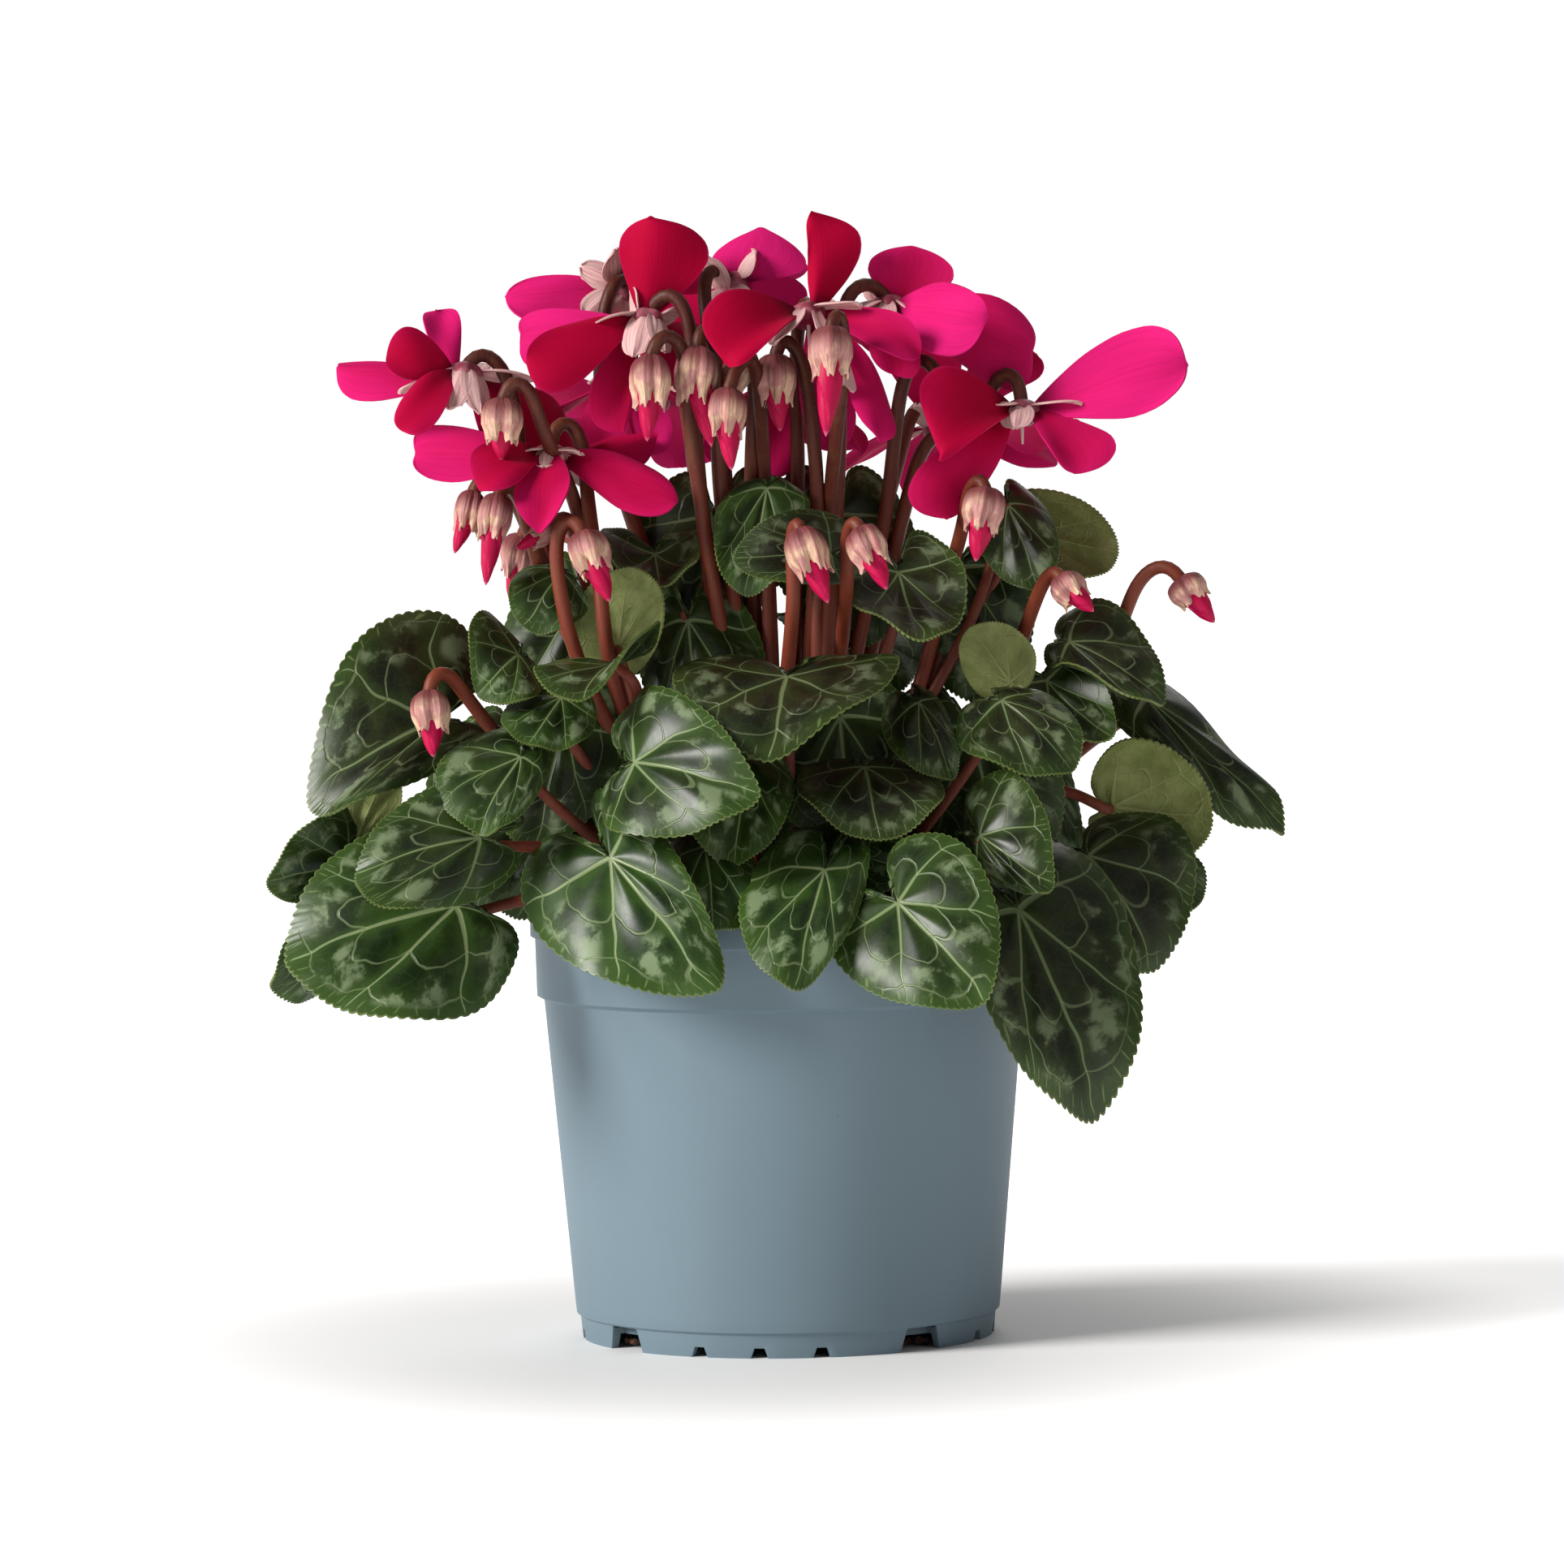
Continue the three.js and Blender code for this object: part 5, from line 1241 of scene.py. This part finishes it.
SCAPES = {
    "bloom_a": [[-44, -2, 160], [-59, -4, 200], [-62.5, -6, 226], [-68, -8, 234.5], [-72, -9, 233]],
    "bloom_b": [[-33, -18, 140], [-39.5, -26.5, 160], [-41.5, -28, 178], [-44.5, -15, 200],
        [-46, -12, 214], [-49.5, -12.5, 218.5], [-52.5, -14.5, 215.5]],
    "bloom_c": [[-15, -8, 170], [-19, -13, 215], [-20, -13, 240], [-23.5, -12, 248], [-28, -10.5, 246]],
    "bloom_d": [[-28, 2, 170], [-34, 6, 192], [-41, 6, 215], [-41, 5, 238], [-39, 6, 249],
        [-35.5, 9, 252.5]],
    "bloom_e": [[-10, 3, 170], [-13, 2, 215], [-16, 2, 240], [-16.5, 6, 252.5], [-13.5, 9.5, 254]],
    "bloom_f": [[5, 3, 200], [5, 2, 230], [6, 0, 242], [8, -4, 246]],
    "bloom_g": [[12, -2, 170], [15, -4, 212], [15.5, -3, 238], [17.5, -1, 247], [21, 1.5, 249.5],
        [25.5, 6, 248]],
    "bloom_h": [[24, 4, 170], [31, 4, 198], [36, 4, 212], [48, 0, 218], [52, -3, 226],
        [55.5, -4.5, 229], [58, -5, 224]],
    "bloom_i": [[-26, 3, 170], [-36, 11, 200], [-40, 13, 224], [-38.5, 13, 233], [-35.3, 12.6, 233]],
    "bloom_j": [[-2, 8, 170], [-3, 12, 200], [-4, 16, 222], [-2, 16.8, 231], [1.8, 16.7, 231]],
    "bloom_k": [[-10, 8, 165], [-18, 24, 192], [-22, 38, 222], [-24.5, 40, 230], [-29, 42.5, 228]],
    "bloom_l": [[12, 8, 165], [24, 22, 190], [31, 34, 212], [34, 36.5, 221], [38.5, 38.8, 220]],
    "bud_01": [[-14, -12, 170], [-20, -18, 215], [-21, -21, 232], [-22.5, -23, 236.5],
        [-25.5, -24.5, 238], [-28.3, -25.8, 236]],
    "bud_02": [[-10, -9, 170], [-13.5, -8, 202], [-14, -15, 230], [-15, -17, 239], [-17.5, -19.5, 239.5]],
    "bud_03": [[-2, -3, 170], [-3, -2, 205], [-4, -14, 225], [-5, -18, 232], [-8.5, -21.5, 231]],
    "bud_04": [[8, -4, 170], [9.5, -7, 200], [8.5, -9, 215], [6.5, -9.5, 230], [3.5, -10, 236.5],
        [0.8, -11.5, 236.5]],
    "bud_05": [[12, -5, 170], [12.5, -6, 197], [15.5, -22, 225], [16, -25, 238], [15.3, -26, 243],
        [13.6, -27.5, 242]],
    "bud_06": [[-6, 0, 180], [-6, -2, 205], [-5, -8, 230], [-6.2, -9.5, 234.5]],
    "bud_07": [[-38, -9, 160], [-48, -14, 200], [-54, -24, 214], [-57.5, -26, 225.5],
        [-60.5, -27, 228], [-63, -27, 226]],
    "bud_08": [[-46, -8, 165], [-57, -12, 188], [-62, -16, 200], [-66, -18, 204.5], [-70, -19.5, 204.5]],
    "bud_09": [[-46, -12, 160], [-56, -14, 183], [-59, -19, 195], [-61, -22, 201.5], [-64, -25, 203]],
    "bud_10": [[-40, -8, 165], [-46, -10, 182], [-48, -14, 193], [-50, -17, 195.5]],
    "bud_11": [[-34, -20, 135], [-48, -29, 165], [-51.5, -31, 188], [-50, -32, 194], [-47, -33.5, 195]],
    "bud_12": [[-1, -14, 130], [1, -19, 150], [3.5, -32, 176], [3.6, -34, 192], [5, -35.5, 194]],
    "bud_13": [[8, -8, 135], [14, -11, 160], [16, -30, 179], [16.5, -35.5, 192], [18.3, -37.5, 194]],
    "bud_14": [[30, -4, 145], [40, -3, 178], [43.5, -12, 191], [45.5, -21, 201], [48, -23.5, 203.5]],
    "bud_15": [[44, -4, 135], [55, -6, 158], [59.5, -12, 171], [62.5, -18, 178.5], [65, -21, 181.5]],
    "bud_16": [[56, -2, 135], [80, 1, 165], [85, 0, 177], [89.5, -2, 181.5], [93.5, -3.7, 181]],
    "bud_17": [[-50, -22, 125], [-68, -31, 147], [-75, -38, 157], [-77.5, -41, 160], [-80.5, -42.7, 158.5]],
    "bud_18": [[5, 9, 165], [12, 32, 188], [16.5, 50, 199], [18, 54, 202.5]],
    "bud_19": [[-20, 5, 160], [-29, 8, 177], [-47, 26, 188], [-58, 36, 193], [-60.5, 39, 194.5]],
    "bud_20": [[18, 0, 160], [26, 2, 196], [28, 0, 212], [30, -4, 225], [33, -7, 231.5], [36.5, -9, 231]],
}
STALK_WAYS = {
    "leaf_02": [[2, -34, 104]],
    "leaf_04": [[14, -26, 102.5], [21, -46, 103.5]],
    "leaf_06": [[30, -25, 116], [44, -37, 113]],
    "leaf_08": [[56, -4, 128], [68, -4, 128]],
    "leaf_15": [[2, -22, 128], [2, -28, 145]],
    "leaf_17": [[-26, -22, 125], [-33, -27, 146]],
    "leaf_10": [[48, -3, 118], [72, 2, 138]],
    "leaf_14": [[22, -3, 150]],
    "leaf_26": [[-70, -10, 119], [-90, -16, 118]],
    "leaf_27": [[-74, 2, 114], [-90, 0, 116]],
    "leaf_35": [[24, -3, 130], [46, -3, 170]],
    "leaf_36": [[22, -1, 130], [46, 0, 168]],
    "leaf_37": [[46, -3, 112], [66, 1, 112]],
    "inner_06": [[34, -1, 150], [41, 1, 168]],
    "inner_11": [[36, -3, 118], [52, -2, 132]],
}
print("flower stalks:", len(SCAPES), "of them with buds:", len(BUDS))

# %% [markdown]
# ## Stalks in place
# A stalk starts inside the tuber. A flower stalk ends inside the tube of its bloom or the calyx of its bud,
# and a leaf stalk meets its blade square to it, where the veins meet.

# %% Stalks: shape
TUBER_RADIUS, TUBER_TOP = 17, 101
ROOT_INSET, ROOT_DEPTH = 3.5, 5  # how far inside the tuber's flank and top the stalks start
SCAPE_RADIUS, PETIOLE_RADIUS = 1.65, 1.35
IN_TUBE, IN_CALYX = 0.4, 1.2  # how far a flower stalk's end is sunk
NECK = 5  # how far below its blade a leaf stalk has turned square to it
LOW_LEAF = 125  # a stalk to a leaf below this height bows up, one above it sags


def crown_root(target, inner, spread):
    """The further out a stalk goes, the further out on the tuber it starts."""
    flat = np.array([target[0], target[1], 0.0])
    reach = min(inner + spread * np.linalg.norm(flat), TUBER_RADIUS - ROOT_INSET)
    return unit(flat) * reach + (0, 0, TUBER_TOP - ROOT_DEPTH)


def flower_stalk(target, way):
    if target in BLOOMS:
        centre, facing = hub_of(target)
        end = centre - facing * (HUB_HALF - IN_TUBE)
    else:
        top, calyx = (np.array(p, float) for p in BUDS[target][:2])
        end = top + unit(calyx - top) * IN_CALYX
    path = [crown_root(way[0], 0, 0.16), *way, end]
    return rolled("stalk_" + target, path, lambda t: SCAPE_RADIUS * (1.12 - 0.14 * t), 0.0)


def leaf_stalk(name, row):
    blade = Blade(*row[:-1], WIDEST_LEAF)
    normal = blade.normal_at(HUB)
    held = blade.point(np.array([HUB]), np.array([0.0]))[0] - normal * 0.3
    before = held - normal * NECK
    root = crown_root(held, 8, 0.05)
    outward = unit(np.array([held[0], held[1], 0.0]))
    middle = (root + before) / 2 + outward * 2
    middle[2] += 8 if before[2] < LOW_LEAF else -0.04 * np.linalg.norm(before - root)
    path = [root, *STALK_WAYS.get(name, [middle]), before, held]
    return rolled("petiole_" + name, path, lambda t: PETIOLE_RADIUS * (1.1 - 0.15 * t), 1.0)


print("stalks start", TUBER_TOP - ROOT_DEPTH, "mm up, inside the tuber")

# %% [markdown]
# ## Stalk skin
# Flower stalks are brown-red and darkest near the hook; leaf stalks are paler and streaked. Two materials
# would do. One serves both here: a number on the points says which kind a stalk is.


# %% Stalks: finish
def stalk_skin():
    f = Finish("stalk skin", 0.5, 0.3)
    place = f.place()
    streak = f.cloud(f.stretch(place, 500.0, 500.0, 60.0), 1.0, 3.0)
    speck = f.cloud(place, 1500.0, 3.0)
    high = f.split(place)[2].rise(0.17, 0.235)
    flower = f.blend(high, dye("#763220"), dye("#4A1A12"))
    leaf = f.blend(streak, dye("#69261C"), dye("#7C4230"))
    base = f.layers(
        f.blend(f.value("tint"), flower, leaf),
        (streak.rise(0.45, 0.7) * 0.3, "#6B4527"),
        (speck.rise(0.6, 0.7) * 0.2, "#8A5A46"),
    )
    return f.wear(colour=base, normal=f.emboss(speck + streak, 0.0002, 0.4))


stalk_finish = stalk_skin()
made = [flower_stalk(target, way) for target, way in SCAPES.items()]
stands_for(smooth(coated(fused("flower_stalks", made), stalk_finish), 60), "stem_skin", "crown")
made = [leaf_stalk(name, row) for name, rows in BLADES.items() for i, row in enumerate(rows)
        if name not in FOLDS or i == 0]
made += [leaf_stalk(name, row) for name, row in INNER_LEAVES.items()]
stands_for(smooth(coated(fused("leaf_stalks", made), stalk_finish), 60), "stem_skin", "crown")

# %% [markdown]
# ## Buds
# In a bud five cream sepals with reddish ribs wrap the petals, which are rolled into a twisted magenta
# cone. The calyx is a rolled grid with five lobes, jagged at the hem; the cone is another with a spiral.

# %% Buds: shape
# How wide each is, at shares of the way down, in radii of the bud.
CALYX = [(0, 0), (0.04, 0.42), (0.1, 0.72), (0.22, 0.93), (0.42, 1.0), (0.62, 0.98), (0.82, 0.8), (1, 0.68)]
CONE = [(0, 0), (0.03, 0.62), (0.35, 0.62), (0.7, 0.42), (0.93, 0.16), (1, 0)]
CALYX_THICK = 0.35


def calyx(name, top, tip, radius, seed):
    top, tip = np.array(top, float), np.array(tip, float)
    length = np.linalg.norm(tip - top)
    a, b = np.random.default_rng(seed).uniform(0, 2 * math.pi, 2)

    def around(turn, t):
        body = np.interp(t, *np.array(CALYX).T)
        lobes = 1 + 0.09 * np.cos(5 * turn + a) + t * 0.05 * np.cos(15 * turn + b)
        ribs = 0.07 * np.abs(np.sin(5 * turn + a)) ** 0.5 * np.sin(np.pi * t)
        flare = 0.16 * t**6 * (0.7 * np.sin(8 * turn + b) + np.cos(5 * turn + a))
        return radius * (body * lobes + ribs + flare * (t > 0.3))

    def along(turn, t):
        hem = 0.7 + 0.3 * np.abs(np.cos(2.5 * turn + a / 2)) ** 0.8 + 0.05 * np.sin(17 * turn + b)
        return length * t * (1 + (hem - 1) * t**2) - 0.6

    return thickened(cup(name, top, tip - top, around, along), CALYX_THICK)


def rolled_petals(name, top, calyx_tip, tip, radius):
    """The cone of petals, which starts nearly half way down inside the calyx."""
    top, calyx_tip, tip = (np.array(p, float) for p in (top, calyx_tip, tip))
    begin = top + (calyx_tip - top) * 0.45
    length = np.linalg.norm(tip - begin)

    def around(turn, t):
        body = np.interp(t, *np.array(CONE).T)
        spiral = ((turn / (2 * np.pi)) * 3 + 1.4 * t) % 1
        return radius * body * (0.94 + 0.2 * spiral)

    return cup(name, begin, tip - begin, around, lambda turn, t: length * t)


print("widest place of a calyx:", max(width for _, width in CALYX), "radii of its bud")

# %% [markdown]
# ## Bud finishes
# The sepals are cream with reddish ribs and blotches, and darkest at the top where the stalk goes in. The
# pattern runs on the rolled grid's own map, round it and down it, so the ribs need no painting by hand.


# %% Buds: finishes
def calyx_paint(name, light, dark):
    f = Finish(name, 0.6, 0.25)
    sheet = f.laid("sheet")
    around, down, _ = f.split(sheet)
    streak = f.cloud(f.stretch(sheet, 22.0, 1.6), 2.0, 4.0, 0.6)
    patch = f.cloud(f.place(), 190.0, 2.0)
    ribs = (around * 5).near().fall(0.02, 0.14) + (around * 15 + 0.3).near().fall(0.04, 0.14) * 0.3
    base = f.layers(
        f.blend(patch.rise(0.42, 0.56), dye(light), dye(dark)),
        (streak.rise(0.44, 0.6) * 0.55, "#A9686A"),
        (ribs * 0.55, "#8C3E48"),
        ((down + streak * 0.3 - 0.15).fall(0.2, 0.6) * 0.92, "#6A282E"),
        (down.rise(0.8, 1.0) * streak.rise(0.4, 0.55) * 0.5, "#D8B9A0"),
    )
    return f.wear(colour=base, normal=f.emboss(streak + ribs * 0.6, 0.0005, 0.6))


def cone_paint():
    f = Finish("rolled petals", 0.5, 0.2)
    sheet = f.laid("sheet")
    down = f.split(sheet)[1]
    streak = f.cloud(f.stretch(sheet, 12.0, 1.0), 2.0, 3.0)
    rolled_up = f.blend(streak, dye("#9C0032"), dye("#C40A50"))
    base = f.layers(rolled_up, (down.rise(0.92, 1.0) * 0.5, "#F08AB0"))
    return f.wear(colour=base, normal=f.emboss(streak, 0.0003, 0.3))


calyx_coat = [
    calyx_paint("calyx outer face", "#D6B698", "#BC8C84"),
    calyx_paint("calyx inner face", "#D8C9A6", "#C6A98A"),
    calyx_paint("calyx hem", "#E3D2AE", "#D3B493"),
]
cone_finish = cone_paint()
calyxes, cones = [], []
for number, (name, (top, tip, petals_tip, radius)) in enumerate(BUDS.items()):
    calyxes.append(coated(calyx("calyx_" + name, top, tip, radius, number), *calyx_coat))
    cones.append(coated(rolled_petals("cone_" + name, top, tip, petals_tip, radius), cone_finish))
stands_for(smooth(fused("bud_calyxes", calyxes), 50), "stem_skin", "crown")
stands_for(smooth(fused("bud_petals", cones), 35), "petal_red", "crown")

# %% [markdown]
# ## Corolla tubes and sepals
# On an open bloom the calyx has spread into five pale-pink sepals with fine darker veins, round a mauve
# five-lobed receptacle that the stalk hangs from. A thin style looks out of the mouth.

# %% Sepals and tubes: shape
SEPAL_EDGE = [(0, 0.5), (0.12, 0.75), (0.35, 1), (0.6, 1), (0.82, 0.8), (0.94, 0.5), (1, 0.12)]
SEPAL_HALF, SEPAL_THICK, WIDEST_SEPAL = 4.0, 0.35, 0.4
SEPAL_RISE, SEPAL_INSET = 1.2, 1.6  # where it starts: above the tube's middle, inside its wall
TUBE = [(-3.2, 0), (-3.15, 1.4), (-2.9, 2.4), (-2.2, 3.3), (-1.2, 3.95), (0.0, 4.2), (1.2, 3.9),
        (2.2, 3.2), (2.4, 0)]  # distance along the axis, radius
sepal_grid, SEPAL_ACROSS, SEPAL_ALONG = grid("sepal_grid", 10, 14)


def sepal(name, centre, facing, tip, seed):
    at = root_on(centre - facing * SEPAL_RISE, facing, tip, HUB_RADIUS - SEPAL_INSET)
    tip = np.array(tip, float)
    middle = at + (tip - at) * WIDEST_SEPAL
    across = unit(np.cross(tip - at, facing)) * SEPAL_HALF
    blade = Blade(at, tip, middle - across, middle + across, [0.9, -1.4], WIDEST_SEPAL)
    u, half = outline(SEPAL_EDGE, SEPAL_ALONG, 200)
    c = 1 - 2 * SEPAL_ACROSS
    a = np.random.default_rng(seed).uniform(0, 2 * math.pi)
    lift = 0.5 * np.sin(4 * u + a) * np.abs(c) * u + 0.35 + 0.25 * np.cos(7 * c)
    return thickened(laid_out(name, sepal_grid, blade.point(u, c * half, lift), 0.5), SEPAL_THICK)


def tube_of(name, centre, facing):
    heights, widths = np.array(TUBE).T
    spread = np.linspace(0, 1, len(TUBE))

    def around(turn, t):
        return np.interp(t, spread, widths) * (1 + 0.09 * np.cos(5 * turn) * np.sin(np.pi * t))

    return cup(name, centre, facing, around, lambda turn, t: np.interp(t, spread, heights))


def style_of(name, centre, facing):
    path = [centre + facing * down for down in (1.5, 4.5, 7.5)]
    return rolled(name, path, lambda t: 0.55 - 0.3 * t, 0.5)


print("length of a corolla's tube:", round(TUBE[-1][0] - TUBE[0][0], 1), "mm")

# %% [markdown]
# ## Finishes of sepals and tubes
# Sepals are pale pink with darker veins that fade towards the tip; the tube is mauve, and deep crimson at
# its mouth. They are worked out on the map from root to tip, as on the petals, so that they meet in colour.


# %% Sepals and tubes: finishes
def sepal_paint(name, light, dark):
    f = Finish(name, 0.6, 0.25)
    sheet = f.laid("sheet")
    across, along, _ = f.split(sheet)
    streak = f.cloud(f.stretch(sheet, 14.0, 1.2), 2.0, 4.0)
    veins = ((across * 8 + streak * 0.6).near()).fall(0.03, 0.14) * along.fall(0.7, 0.95)
    base = f.layers(
        f.blend(streak.rise(0.35, 0.7), dye(light), dye(dark)),
        (veins * 0.35, "#B0637C"),
        (along.fall(0.0, 0.3) * 0.6, "#9A4C60"),
    )
    return f.wear(colour=base, normal=f.emboss(streak - veins * 0.5, 0.0003, 0.4))


def tube_paint():
    f = Finish("corolla tube", 0.5, 0.3)
    flow = f.cloud(f.place(), 260.0, 4.0)
    down = f.split(f.laid("sheet"))[1]
    base = f.layers(
        f.blend(flow.rise(0.35, 0.7), dye("#7A2C3C"), dye("#A8606E")),
        (down.fall(0.1, 0.4) * 0.8, "#5A2428"),
        (down.rise(0.62, 0.8), "#7A0430"),
    )
    return f.wear(colour=base, normal=f.emboss(flow, 0.0003, 0.4))


sepal_coat = [
    sepal_paint("sepal outer face", "#E0BAB4", "#C49094"),
    sepal_paint("sepal inner face", "#E8CFC6", "#DAB0AC"),
    sepal_paint("sepal edge", "#F0DAD4", "#E6C4C2"),
]
tube_finish = tube_paint()
for number, (node, (*_, tips)) in enumerate(BLOOMS.items()):
    centre, facing = hub_of(node)
    made = [coated(sepal(f"{node}_sepal_{i}", centre, facing, tip, 5 * number + i), *sepal_coat)
            for i, tip in enumerate(tips)]
    made.append(coated(tube_of(node + "_tube", centre, facing), tube_finish))
    made.append(coated(style_of(node + "_style", centre, facing), sepal_coat[2]))
    stands_for(smooth(fused(node.replace("bloom", "calyx"), made), 50), "petal_red", node)

# %% [markdown]
# ## Clear the bench
# The flat grids were only patterns, so they go.

for pattern in (leaf_grid, petal_grid, stalk_grid, cup_grid, sepal_grid):
    bpy.data.objects.remove(pattern)
